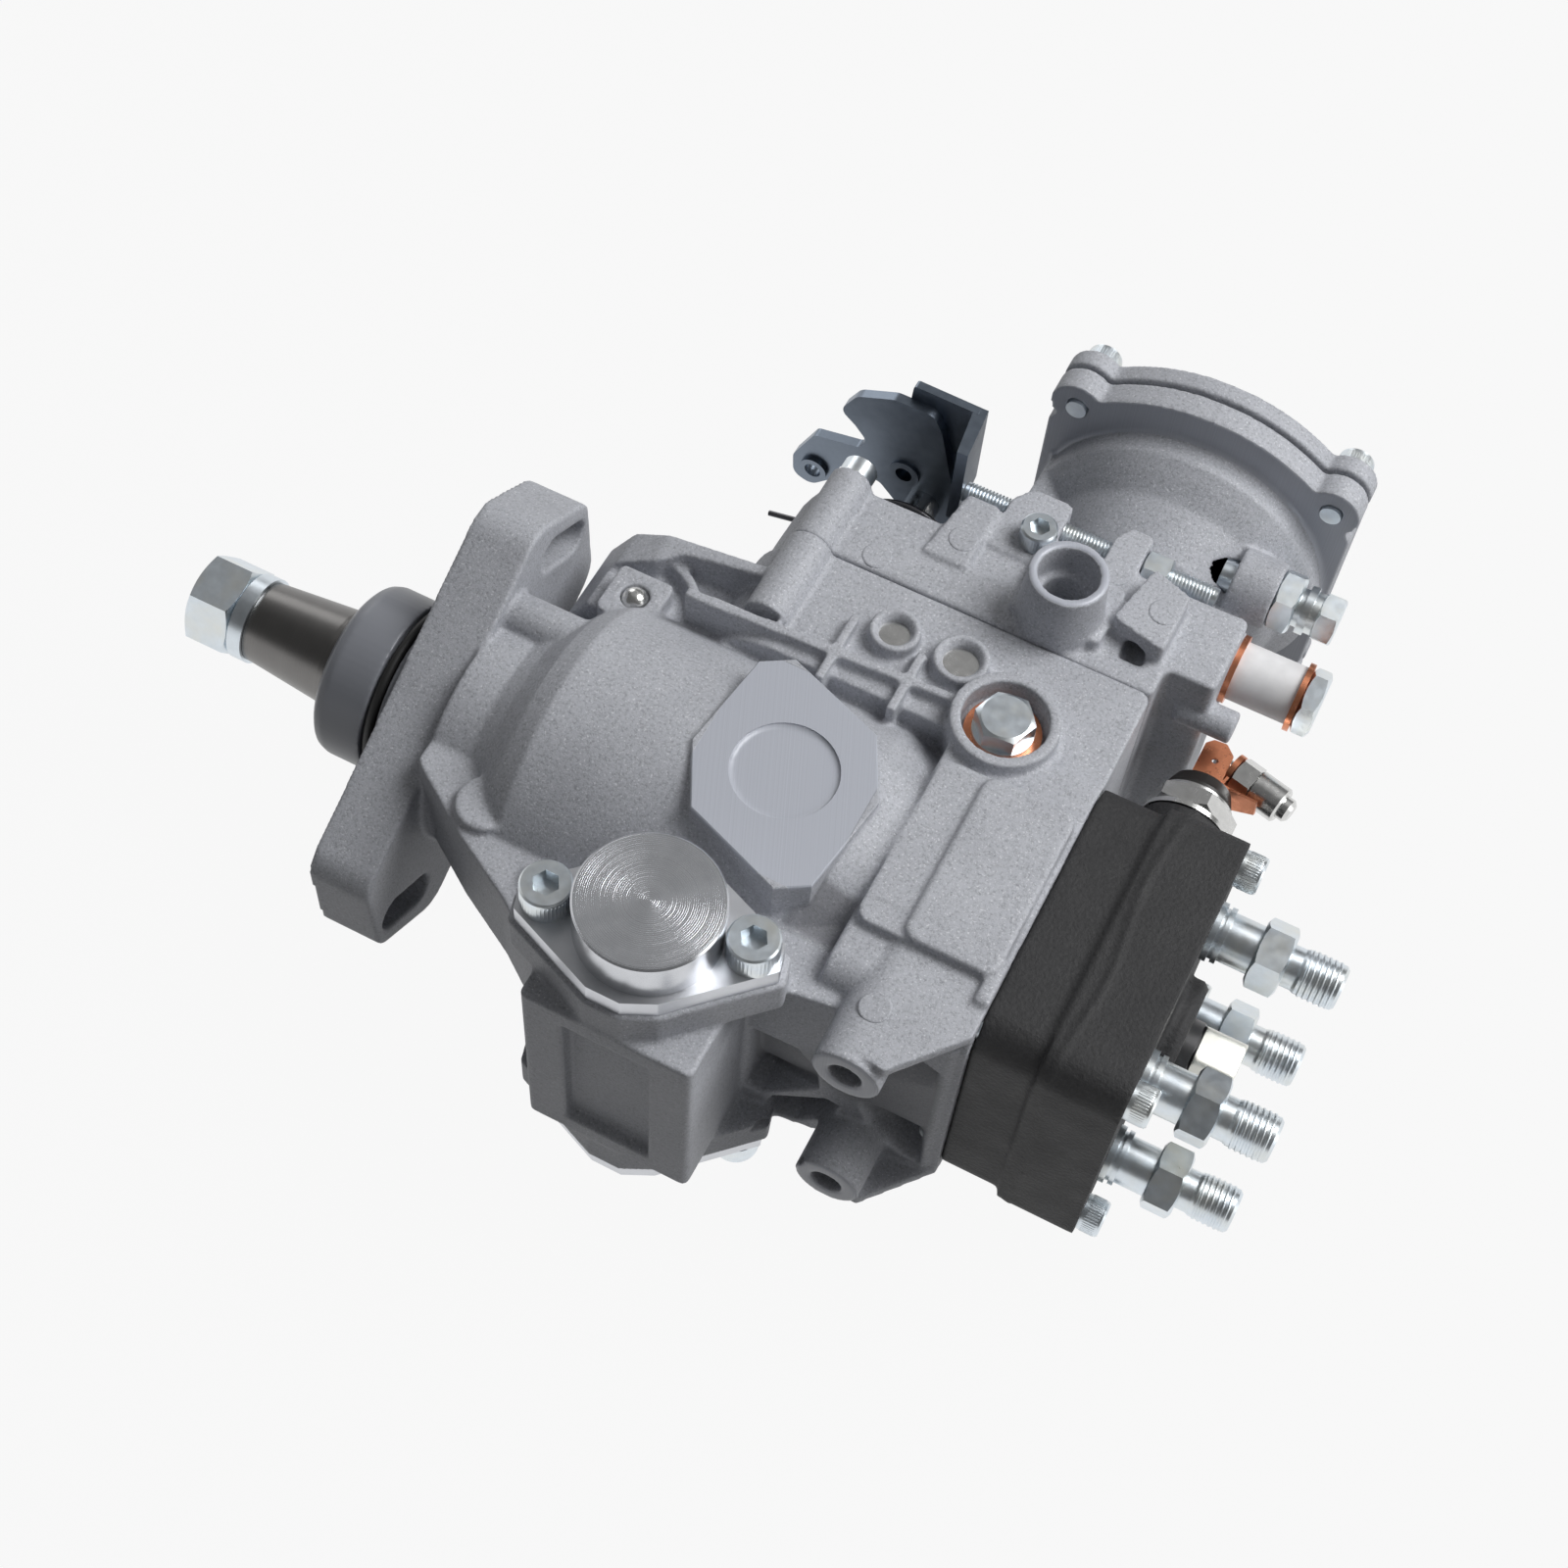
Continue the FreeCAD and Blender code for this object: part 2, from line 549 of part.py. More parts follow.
def boost_pin():
    top = boost_flange_level + boost_flange_thickness
    stem = rod(boost_pin_radius, (boost_x, 78, 0), (boost_x, top + 3.4, 0))
    taper = cone(2.6, boost_pin_radius, (boost_x, 70, 0), (boost_x, 78, 0))
    edge = boost_plate_radius
    cup = turned([(top - 8, 0), (top - 8, 7), (top - 3.2, 7), (top - 3.2, edge - 2.5),
                  (top - 10, edge - 2.5),
                  (top - 10, edge), (top + 1.4, edge), (top + 1.4, 0)], (boost_x, 0, 0), "y")
    nut = rod(7.5, (boost_x, top + 1.4, 0), (boost_x, top + 5, 0))
    return joined(stem, taper, cup, nut)


def boost_spring():
    top = boost_flange_level + boost_flange_thickness
    return coil((boost_x, 0), "y", 120.3, top - 8.3, 13.0, 1.2, 5)


def boost_cover_screws():
    low = boost_flange_level + boost_flange_thickness + 1.4
    out = []
    for a in (1, -1):
        for b in (1, -1):
            out.append(socket_screw(6, (boost_x + a * boost_screw_pitch, low + 6, b * boost_screw_pitch),
                                    (0, 1, 0), low + 6 - boost_flange_level + 1.0))
    return Part.makeCompound(out)


def cover_screws():
    out = []
    for x, z in cover_screw_spots():
        top = cover_level + 1 if x < 100 else 88
        out.append(socket_screw(6, (x, top, z), (0, 1, 0), top - joint_level + (12 if x < 100 else 6)))
    return Part.makeCompound(out)


def timing_cover(side):
    s = side
    base = timing_half_height * s
    low, high = (base, base + 6) if s > 0 else (base - 6, base)
    plate = prism(timing_plate_points(), "z", low, high, 0.6)
    cup_end = timing_cup_top if s > 0 else -(timing_half_height + 10)
    cup = rod(timing_cup_radius, (timing_x, timing_y, base), (timing_x, timing_y, cup_end))
    body = joined(plate, cup)
    ring = [e for e in body.Edges if e.Curve.TypeId == "Part::GeomCircle" and abs(e.BoundBox.ZMin - cup_end) < 0.01
            and abs(e.BoundBox.ZMax - cup_end) < 0.01]
    body = body.makeChamfer(0.5, ring)
    body = body.cut(rod(timing_piston_radius, (timing_x, timing_y, base - 1 * s),
                        (timing_x, timing_y, cup_end - 4 * s)))
    for x, y in timing_screw_spots():
        body = body.cut(rod(4.2, (x, y, low - 1), (x, y, high + 1)))
    return body


def timing_cover_screws():
    out = []
    for s in (1, -1):
        for x, y in timing_screw_spots():
            out.append(socket_screw(8, (x, y, s * (timing_half_height + 6)), (0, 0, s), 12))
    return Part.makeCompound(out)


# Hydraulic head and outlets.

def hydraulic_head():
    profile = rectangle(-head_half, head_half, -head_half, head_half)
    front = prism(rectangle(-head_half + 1.5, head_half - 1.5, -head_half + 1.5, head_half - 1.5),
                  "x", head_front, head_front + 20, 9)
    rear = prism(profile, "x", head_front + 17, head_rear, 8)
    spigot = rod(chamber_radius - 0.1, (head_front - 18, 0, 0), (head_front + 1, 0, 0))
    centre = turned([(head_rear - 1, 0), (head_rear - 1, 19), (head_rear + 4, 19), (head_rear + 5.5, 17.5),
                     (head_rear + 5.5, 0)], (0, 0, 0), "x")
    pins = [rod(3.0, (head_front - 28, 0, s * 22), (head_front - 17, 0, s * 22)) for s in (1, -1)]
    mount = rod(12.0, solenoid_point(head_half - 2 - solenoid_base), solenoid_point(0))
    body = joined(front, rear, spigot, centre, pins, mount)
    cuts = [rod(plunger_radius + running, (head_front - 20, 0, 0), (head_rear - 8, 0, 0)),
            rod(8.0, (head_rear - 9, 0, 0), (head_rear + 7, 0, 0)),
            rod(6.0, solenoid_point(-8.3), solenoid_point(1)),
            rod(2.0, solenoid_point(-8.0), (solenoid_x, 2, 4))]
    for a in (1, -1):
        for b in (1, -1):
            y, z = outlet_pitch * a, outlet_pitch * b
            cuts.append(rod(6.5, (head_rear - 12, y, z), (head_rear + 1, y, z)))
            cuts.append(rod(1.5, (head_rear - 11, y, z), (head_rear - 24, 3 * a, 3 * b)))
            cuts.append(rod(3.1, (head_front - 20, head_screw_pitch * a, head_screw_pitch * b),
                            (head_rear + 1, head_screw_pitch * a, head_screw_pitch * b)))
    return less(body, cuts)


def head_screws():
    out = []
    for a in (1, -1):
        for b in (1, -1):
            out.append(socket_screw(6, (head_rear, head_screw_pitch * a, head_screw_pitch * b), (1, 0, 0),
                                    head_thickness + 12))
    return Part.makeCompound(out)


def delivery_holder(a, b):
    y, z = outlet_pitch * a, outlet_pitch * b
    body = turned([(-11, 0), (-11, 6.5), (0, 6.5), (0, 8.0), (1.6, 8.0), (1.6, 6.9), (2.6, 6.9), (2.6, 7.6),
                   (4, 7.6),
                   (4, 6.6), (13, 6.6), (13, 6.0), (20, 6.0), (20, 5.6), (23.5, 5.6), (24.4, 6.0),
                   (34.2, 6.0),
                   (35, 5.2), (35, 0)], (head_rear, y, z), "x")
    hexa = hexagon(outlet_hex, "x", head_rear + 12, head_rear + 20.5, (y, z), 0.3 * a)
    body = joined(body, hexa)
    bore = rod(1.6, (head_rear + 6, y, z), (head_rear + 36, y, z))
    seat = cone(1.6, 4.2, (head_rear + 31.4, y, z), (head_rear + 35.1, y, z))
    pocket = rod(4.0, (head_rear - 12, y, z), (head_rear + 6, y, z))
    return less(body, bore, seat, pocket)


def delivery_holders():
    return Part.makeCompound([delivery_holder(a, b) for a in (1, -1) for b in (1, -1)])


def delivery_valves():
    out = []
    for a in (1, -1):
        for b in (1, -1):
            y, z = outlet_pitch * a, outlet_pitch * b
            stem = turned([(-11.8, 0), (-11.8, 3.9), (-7, 3.9), (-7, 2.4), (1, 2.4), (1, 3.6), (2.4, 3.6),
                           (5.6, 1.2),
                           (5.6, 0)], (head_rear, y, z), "x")
            out.append(stem)
    return Part.makeCompound(out)


def head_plug():
    body = turned([(-7.5, 0), (-7.5, 8.0), (5.5, 8.0), (5.5, 9.5), (8.5, 9.5), (9.2, 8.8), (9.2, 0)],
                  (head_rear, 0, 0), "x")
    return body.cut(prism(regular(6, 4.6), "x", head_rear + 4, head_rear + 10))


# Stop solenoid: it stands on the head, and a bent stud on top carries its two tags.

solenoid_base = 55.0
solenoid_x = 198.8
solenoid_z = 10.0
terminal_root = (203.4, 80.1, 7.8)
terminal_slant = -14.0


def solenoid_point(along):
    return (solenoid_x, solenoid_base + along, solenoid_z)


def stop_solenoid():
    collar = turned([(-8, 0), (-8, 5.95), (0, 5.95), (0, 12.0), (1.4, 12.0), (1.4, 0)], solenoid_point(0),
                    "y")
    body = hexagon(22.0, "y", solenoid_base + 1.2, solenoid_base + 7.8, (solenoid_x, solenoid_z), 0.25)
    crimp = rod(10.7, solenoid_point(7.0), solenoid_point(8.4))
    body = joined(collar, body, crimp)
    return less(body, rod(4.0, solenoid_point(-9), solenoid_point(6.0)),
                rod(8.0, solenoid_point(6.6), solenoid_point(9)))


def solenoid_insulator():
    body = turned([(6.6, 0), (6.6, 7.95), (8.4, 7.95), (8.4, 9.8), (10.0, 9.8), (14.0, 8.2), (14.0, 0)],
                  solenoid_point(0), "y")
    return body.cut(rod(1.25, (200.0, solenoid_base, terminal_root[2]),
                        (200.0, solenoid_base + 20, terminal_root[2])))


def on_terminal(shape):
    # Moves a shape made along X from the origin onto the slanted stud.
    shape.rotate(vec(0, 0, 0), Z, terminal_slant)
    shape.translate(vec(*terminal_root))
    return shape


def terminal_blades():
    # Two flat tags clamped under the nut, one standing up and one bent out under the stud.
    ring = on_terminal(rod(5.2, (0, 0, 0), (0.8, 0, 0)))
    x, y, z = terminal_root
    up = prism([(x - 9.2, y - 10.8, 1), (x - 9.2, y + 2.5, 1), (x - 7.4, y + 4.5, 1), (x - 3.8, y + 4.8, 1),
                (x - 0.8, y + 1.9, 1), (x - 0.8, y - 10.8, 1)], "z", z + 2.7, z + 3.5)
    up = up.cut(rod(0.9, (x - 4.8, y - 1.7, z), (x - 4.8, y - 1.7, z + 5)))
    second = joined(rod(5.2, (0.8, 0, 0), (1.6, 0, 0)), block(0.8, 1.6, -7.6, -4, -3, 3),
                    prism([(0.8, -3), (0.8, 3), (3.5, 3), (12, 5.8), (12.6, 0.2), (5.5, -5)], "y", -7.6,
                          -6.8))
    hole = on_terminal(rod(2.5, (-3, 0, 0), (4, 0, 0)))
    return Part.makeCompound([joined(ring, up).cut(hole), on_terminal(second).cut(hole)])


def terminal_nut():
    nut = hexagon(10.0, "x", 1.7, 8.0, (0, 0), 0.3)
    return on_terminal(nut.cut(rod(2.5, (0, 0, 0), (9, 0, 0))))


def terminal_stud():
    x, y, z = 200.0, solenoid_base + 6.8, terminal_root[2]
    stud = turned([(-2.2, 0), (-2.2, 2.4), (8.0, 2.4), (8.0, 5.2), (16.2, 5.2), (16.8, 4.6), (16.8, 3.4),
                   (18.8, 3.4),
                   (19.8, 2.4), (19.8, 0)], (0, 0, 0), "x")
    top = terminal_root[1] + 2.2
    root = joined(rod(1.2, (x, y, z), (x, top - 4, z)), rod(2.0, (x, top - 4.8, z), (x, top, z)))
    return joined(on_terminal(stud), root)


def solenoid_armature():
    return turned([(-7.4, 0), (-7.4, 1.2), (-6, 3.7), (2.2, 3.7), (2.2, 2), (3.2, 2), (3.2, 0)],
                  solenoid_point(0), "y")


# Shaft train.

def drive_shaft():
    start = -taper_start
    end = start - taper_length
    nut_far = end - 4.5 - nut_length
    points = [(nut_far - 1.5, 0), (nut_far - 1.5, shaft_thread_radius - 1),
              (nut_far - 0.5, shaft_thread_radius),
              (end, shaft_thread_radius), (end, taper_end_radius), (start, journal_radius),
              (19, journal_radius),
              (19, 11.0), (88, 11.0), (88, 0)]
    body = turned(points, (0, 0, 0), "x")
    claws = prism(rectangle(-11, 11, -5, 5), "x", 88, 99.3).common(rod(11, (87, 0, 0), (101, 0, 0)))
    claws = claws.cut(block(86, 101, -4.6, 4.6, -6, 6))
    key_slot = block(-46, -31, -2.0, 2.0, -20, -journal_radius + 3.6)
    return less(joined(body, claws), key_slot)


def shaft_key():
    disc = Part.makeCylinder(8.0, 4.0, vec(-38.5, -2.0, -7.0), Y)
    key = disc.common(block(-46, -31, -2, 2, -20, -journal_radius + 3.6))
    return key


def spring_washer():
    end = -taper_start - taper_length
    ring = tube(12.6, 7.4, (end - 4.4, 0, 0), (end - 0.1, 0, 0))
    return ring.cut(block(end - 6, end + 1, 6, 14, -0.8, 0.8))


def shaft_nut():
    end = -taper_start - taper_length - 4.5
    nut = hexagon(nut_across_flats, "x", end - nut_length, end, (0, 0), 0.12)
    return nut.cut(rod(shaft_thread_radius + 0.02, (end - nut_length - 1, 0, 0), (end + 1, 0, 0)))


def shaft_seal():
    body = tube(seal_radius, journal_radius + running, (-22.6, 0, 0), (-15, 0, 0))
    return body.cut(tube(18.6, 16.0, (-23, 0, 0), (-17, 0, 0)))


def pilot_o_ring():
    ring = Part.makeTorus(pilot_radius - 1.4, 1.35, vec(-4.3, 0, 0), X)
    return ring.common(rod(pilot_radius + 0.6, (-6, 0, 0), (-2.6, 0, 0))).cut(
        rod(pilot_radius - 2.6, (-7, 0, 0), (-1, 0, 0)))


def vane_rotor():
    body = tube(19.6, 11.02, (20.2, 0, 0), (39.8, 0, 0))
    slots = [block(20, 40, 13, 24, -1.3, 1.3), block(20, 40, -24, -13, -1.3, 1.3),
             block(20, 40, -1.3, 1.3, 13, 24), block(20, 40, -1.3, 1.3, -24, -13)]
    return less(body, slots)


def vanes():
    out = [block(20.3, 39.7, 13.3, 20.3, -1.25, 1.25), block(20.3, 39.7, -20.3, -13.3, -1.25, 1.25),
           block(20.3, 39.7, -1.25, 1.25, 13.3, 20.3), block(20.3, 39.7, -1.25, 1.25, -20.3, -13.3)]
    return Part.makeCompound(out)


def vane_ring():
    ring = rod(vane_chamber_radius, (20, 0, 0), (40, 0, 0))
    return ring.cut(rod(21.8, (19, 1.4, 0), (41, 1.4, 0)))


def gear(teeth, bore, centre_y, front, turn):
    # Spur gear with straight-sided teeth, thinned for backlash.
    pitch = gear_module * teeth / 2
    tip, root = pitch + 0.9 * gear_module, pitch - 1.15 * gear_module
    step = 2 * math.pi / teeth
    points = []
    for i in range(teeth):
        middle = turn + i * step
        for radius, share in ((root, -0.34), (pitch, -0.22), (tip, -0.11), (tip, 0.11), (pitch, 0.22),
                              (root, 0.34)):
            angle = middle + share * step
            points.append((centre_y + radius * math.cos(angle), radius * math.sin(angle)))
    body = prism(points, "x", front, front + gear_width)
    return body.cut(rod(bore, (front - 1, centre_y, 0), (front + gear_width + 1, centre_y, 0)))


def drive_gear():
    return gear(drive_gear_teeth, 11.02, 0.0, gear_front, 0.0)


def cross_coupling():
    disc = rod(18.0, (96.4, 0, 0), (104, 0, 0))
    front = block(88, 99.6, -12, 12, -5.2, 5.2).cut(block(88, 99.6, -4.2, 4.2, -6, 6))
    rear = block(101, 105, -5.2, 5.2, -12, 12).cut(block(101, 105, -6, 6, -4.2, 4.2))
    disc = joined(disc, rod(3.9, (92, 0, 0), (97, 0, 0)))
    return less(disc, front, rear)


def cam_plate():
    disc = rod(33.5, (114, 0, 0), (121, 0, 0))
    lobes = []
    for i in range(4):
        angle = i * math.pi / 2
        lobe = prism([(-9, 114.2), (9, 114.2), (4, 111.5), (-4, 111.5)], "y", 22.5, 33.0)
        lobe = lobe.copy()
        swap = FreeCAD.Matrix(0, 0, 1, 0, 0, 1, 0, 0, -1, 0, 0, 0, 0, 0, 0, 1)
        lobe = lobe.transformGeometry(swap)
        lobe.rotate(vec(0, 0, 0), X, math.degrees(angle))
        lobes.append(lobe)
    hub = rod(15.0, (104.2, 0, 0), (115, 0, 0))
    claws = [block(101.3, 105, -5, 5, 4.6, 11), block(101.3, 105, -5, 5, -11, -4.6)]
    return joined(disc, hub, claws, lobes)


def plunger():
    foot = rod(9.5, (121, 0, 0), (125, 0, 0))
    stem = rod(plunger_radius, (124, 0, 0), (head_rear - 9, 0, 0))
    return joined(foot, stem)


def plunger_springs():
    return Part.makeCompound([coil((0, s * 22), "x", 121.3, head_front - 18, 4.6, 0.9, 7) for s in (1, -1)])


def control_collar():
    body = tube(12.5, plunger_radius + running, (129, 0, 0), (139, 0, 0))
    return body.cut(rod(3.1, (134, 7.5, 0), (134, 14, 0)))


# Timing device.

def roller_ring():
    ring = tube(36.5, 20.0, (93, 0, 0), (106, 0, 0))
    cuts = []
    for i in range(4):
        angle = math.pi / 4 + i * math.pi / 2
        c, s = math.cos(angle), math.sin(angle)
        cuts.append(rod(5.3, (106, 21.5 * c, 21.5 * s), (106, 34 * c, 34 * s)))
    cuts.append(rod(3.55, (timing_x, -40, 0), (timing_x, -24, 0)))
    return less(ring, cuts)


def rollers():
    out = []
    for i in range(4):
        angle = math.pi / 4 + i * math.pi / 2
        c, s = math.cos(angle), math.sin(angle)
        out.append(rod(5.0, (106, 21.8 * c, 21.8 * s), (106, 33.7 * c, 33.7 * s)))
    return Part.makeCompound(out)


def timing_pin():
    stem = rod(3.5, (timing_x, timing_y + 1, 0), (timing_x, -24.5, 0))
    ball = rod(4.4, (timing_x, timing_y - 5, 0), (timing_x, timing_y + 5, 0))
    return joined(stem, ball)


def timing_piston():
    body = rod(timing_piston_radius, (timing_x, timing_y, -30), (timing_x, timing_y, 30))
    pocket = rod(7.8, (timing_x, timing_y, 14), (timing_x, timing_y, 31))
    cross = rod(4.8, (timing_x, timing_y - 7, 0), (timing_x, timing_y + 14, 0))
    return less(body, pocket, cross)


def timing_spring():
    return coil((timing_x, timing_y), "z", 18.6, timing_cup_top - 4, 5.8, 1.0, 8)


# Governor.

def governor_pins():
    # The fixed axle of the cage and the pivot of the levers.
    axle = rod(3.6, (cover_front - 6, governor_y, 0), (126, governor_y, 0))
    pivot = rod(3.0, (134, 30, -lever_pin_half), (134, 30, lever_pin_half))
    return Part.makeCompound([axle, pivot])


def governor_cage():
    wheel = gear(governor_gear_teeth, 3.6 + running, governor_y, gear_front + 0.4,
                 math.pi / governor_gear_teeth)
    drum = tube(19.0, 3.6 + running, (gear_front + gear_width + 0.4, governor_y, 0), (80, governor_y, 0))
    rim = tube(19.0, 17.0, (79, governor_y, 0), (92, governor_y, 0))
    windows = []
    for i in range(4):
        angle = math.pi / 4 + i * math.pi / 2
        window = block(80.5, 93, 14, 24, -6, 6)
        window.rotate(vec(0, 0, 0), X, math.degrees(angle))
        window.translate(vec(0, governor_y, 0))
        windows.append(window)
    return less(joined(wheel, drum, rim), windows)


def flyweights():
    out = []
    for i in range(4):
        angle = math.pi / 4 + i * math.pi / 2
        weight = joined(block(80.8, 91, 10.5, 16.0, -5.5, 5.5), block(80.8, 83.6, 15, 18.6, -5.5, 5.5),
                        block(88.5, 91, 7.9, 12, -3, 3))
        weight.rotate(vec(0, 0, 0), X, math.degrees(angle))
        weight.translate(vec(0, governor_y, 0))
        out.append(weight)
    return Part.makeCompound(out)


def governor_sleeve():
    body = tube(7.4, 3.6 + running, (84, governor_y, 0), (128, governor_y, 0))
    cap = rod(6.0, (126.5, governor_y, 0), (128.6, governor_y, 0))
    nose = cone(4.0, 1.4, (128.5, governor_y, 0), (130.8, governor_y, 0))
    collar = rod(11.0, (91.3, governor_y, 0), (94.3, governor_y, 0))
    return joined(body, cap, nose,
                  collar).cut(rod(3.6 + running, (83, governor_y, 0), (127.5, governor_y, 0)))


def governor_lever():
    bar = prism(shifted([(-3, -17), (3, -17), (3, 36), (-3, 36)], (134, 30)), "z", -5, 5, 1)
    eye = rod(6.0, (134, 30, -8), (134, 30, 8))
    ball = rod(2.8, (134, 8.6, 0), (134, 14, 0))
    return less(joined(bar, eye, ball), rod(3.0 + running, (134, 30, -9), (134, 30, 9)))


# Throttle.

def throttle_shaft():
    top = lever_level + lever_thickness + 2.5
    shaft = rod(throttle_shaft_radius, (throttle_x, 82, throttle_z), (throttle_x, lever_level, throttle_z))
    neck = rod(4.0, (throttle_x, lever_level - 1, throttle_z), (throttle_x, top + 0.5, throttle_z))
    peened = cone(6.0, 5.0, (throttle_x, top, throttle_z), (throttle_x, top + 2, throttle_z))
    shoulder = rod(7.0, (throttle_x, cover_level + working, throttle_z),
                   (throttle_x, cover_level + 3, throttle_z))
    crank = joined(block(throttle_x - 4, throttle_x + 14, 81, 84, throttle_z - 3, throttle_z + 3),
                   rod(2.4, (throttle_x + 11, 75, throttle_z), (throttle_x + 11, 82, throttle_z)))
    return joined(shaft, neck, peened, shoulder, crank)


def lever_points():
    return [(64.5, 36.5, 3), (69, 44.5, 5), (80, 49.5, 5), (92, 49.5, 4), (95, 44, 4), (102, 18, 5),
            (102, 6, 6),
            (94, 2, 6), (85, 7, 6), (79, 13, 3), (67, 14, 3), (64, 5, 4), (58, -1, 4), (52, 1, 4),
            (51.5, 9, 4),
            (57.5, 21, 2), (71.5, 24, 2), (73.5, 28, 3), (69.5, 32.5, 2)]


def throttle_lever():
    plate = prism(lever_points(), "y", lever_level, lever_level + lever_thickness)
    collar = rod(4.6, (86, lever_level - 0.8, 21.5), (86, lever_level + 1, 21.5))
    small = rod(4.2, (58.6, lever_level - 1.4, 7.2), (58.6, lever_level + 1, 7.2))
    body = joined(plate, collar, small)
    return less(body,
                rod(4.02, (throttle_x, lever_level - 5, throttle_z),
                    (throttle_x, lever_level + 5, throttle_z)),
                rod(2.5, (58.6, lever_level - 5, 7.2), (58.6, lever_level + 5, 7.2)),
                rod(2.5, (86, lever_level - 5, 21.5), (86, lever_level + 5, 21.5)))


def stop_bracket():
    low = lever_level + lever_thickness
    top = low + 2.5
    plate = prism([(84, 54.5, 1), (104, 54, 1), (104, 26, 2), (102, 12, 5), (96, 3, 7), (86, 5, 7),
                   (82, 22, 4)],
                  "y", low, top)
    tab = prism([(top, 101.6), (top, 105.2), (106.5, 106.8), (106.5, 103.6), (low, 101.6)], "z", 26, 54)
    swap = FreeCAD.Matrix(0, 1, 0, 0, 1, 0, 0, 0, 0, 0, 1, 0, 0, 0, 0, 1)
    tab = tab.transformGeometry(swap)
    body = joined(plate, tab)
    return body.cut(rod(4.02, (throttle_x, low - 2, throttle_z), (throttle_x, low + 6, throttle_z)))


def return_spring():
    # Three open turns round the lever's hub, with a leg that runs from the first turn along the cover.
    low = cover_level + working
    wire = 0.95
    radius = 13.6
    body = coil((throttle_x, throttle_z), "y", low, low + 13.0, radius, wire, 3)
    body.rotate(vec(throttle_x, 0, throttle_z), Y, 180)
    bend = math.radians(8)
    root = (throttle_x - radius * math.cos(bend), low + wire + 0.1, throttle_z + radius * math.sin(bend))
    return joined(body, rod(wire - 0.15, root, (55, low + wire, 8)))


def stop_screw():
    tip = 106.7
    body = rod(2.95, (tip, stop_screw_level, stop_screw_z), (181, stop_screw_level, stop_screw_z))
    return body


def stop_nut():
    nut = hexagon(10.0, "x", 159.7, 167.2, (stop_screw_level, stop_screw_z), 0.1)
    return nut.cut(rod(2.97, (158, stop_screw_level, stop_screw_z), (169, stop_screw_level, stop_screw_z)))


def bush_screw():
    return socket_screw(6, (bush_x, bush_y, cover_near + 1), (0, 0, 1), 12.5)


def full_load_screw():
    base = (full_load_seat, full_load_y, full_load_z)
    nut = hexagon(16.0, "x", full_load_seat, full_load_seat + 6.5, (full_load_y, full_load_z), 0.25)
    sleeve = turned([(-16, 0), (-16, 4.9), (6.4, 4.9), (6.4, 5.5), (8.2, 5.5), (8.2, 6.9), (10.4, 6.9),
                     (10.4, 6.0),
                     (12.6, 6.0), (12.6, 0)], base, "x")
    end = hexagon(13.0, "x", full_load_seat + 12.4, full_load_seat + 18.5, (full_load_y, full_load_z), 0.1)
    return joined(nut, sleeve, end)


# Return and side plugs.

def return_bolt():
    base = (cover_rear, return_y, return_z)
    start = cover_rear + 20.4
    shank = turned([(-13, 0), (-13, 6.95), (20.4, 6.95), (20.4, 0)], base, "x")
    bolt = joined(shank, hexagon(17.0, "x", start, start + 5.4, (return_y, return_z), 0.35))
    return bolt.cut(rod(3.0, (cover_rear - 14, return_y, return_z), (cover_rear + 16, return_y, return_z)))


def return_spacer():
    return tube(8.3, 7.1, (cover_rear + 1.6, return_y, return_z), (cover_rear + 18.8, return_y, return_z))


def copper_washers():
    out = [tube(9.8, 7.05, (cover_rear, return_y, return_z), (cover_rear + 1.6, return_y, return_z)),
           tube(9.8, 7.05, (cover_rear + 18.8, return_y, return_z),
                (cover_rear + 20.4, return_y, return_z)),
           tube(10.2, 5.05, (148.5, 41.5, 37.0), (148.5, 41.5, 38.6))]
    return Part.makeCompound(out)


def side_plug():
    head = hexagon(14.0, "z", 38.6, 46.0, (148.5, 41.5), 0.15)
    collar = rod(8.2, (148.5, 41.5, 38.6), (148.5, 41.5, 40.2))
    shank = rod(4.95, (148.5, 41.5, 24), (148.5, 41.5, 39))
    return joined(head, collar, shank)


def core_plugs():
    return Part.makeCompound([rod(4.2, (111.4, 54.6, 36), (111.4, 54.6, 39.6)),
                              rod(4.8, (130.4, 54.8, 36), (130.4, 54.8, 39.6))])


def ball_plug():
    ball = Part.makeSphere(4.0, vec(43.5, 38.0, 28.5))
    return ball


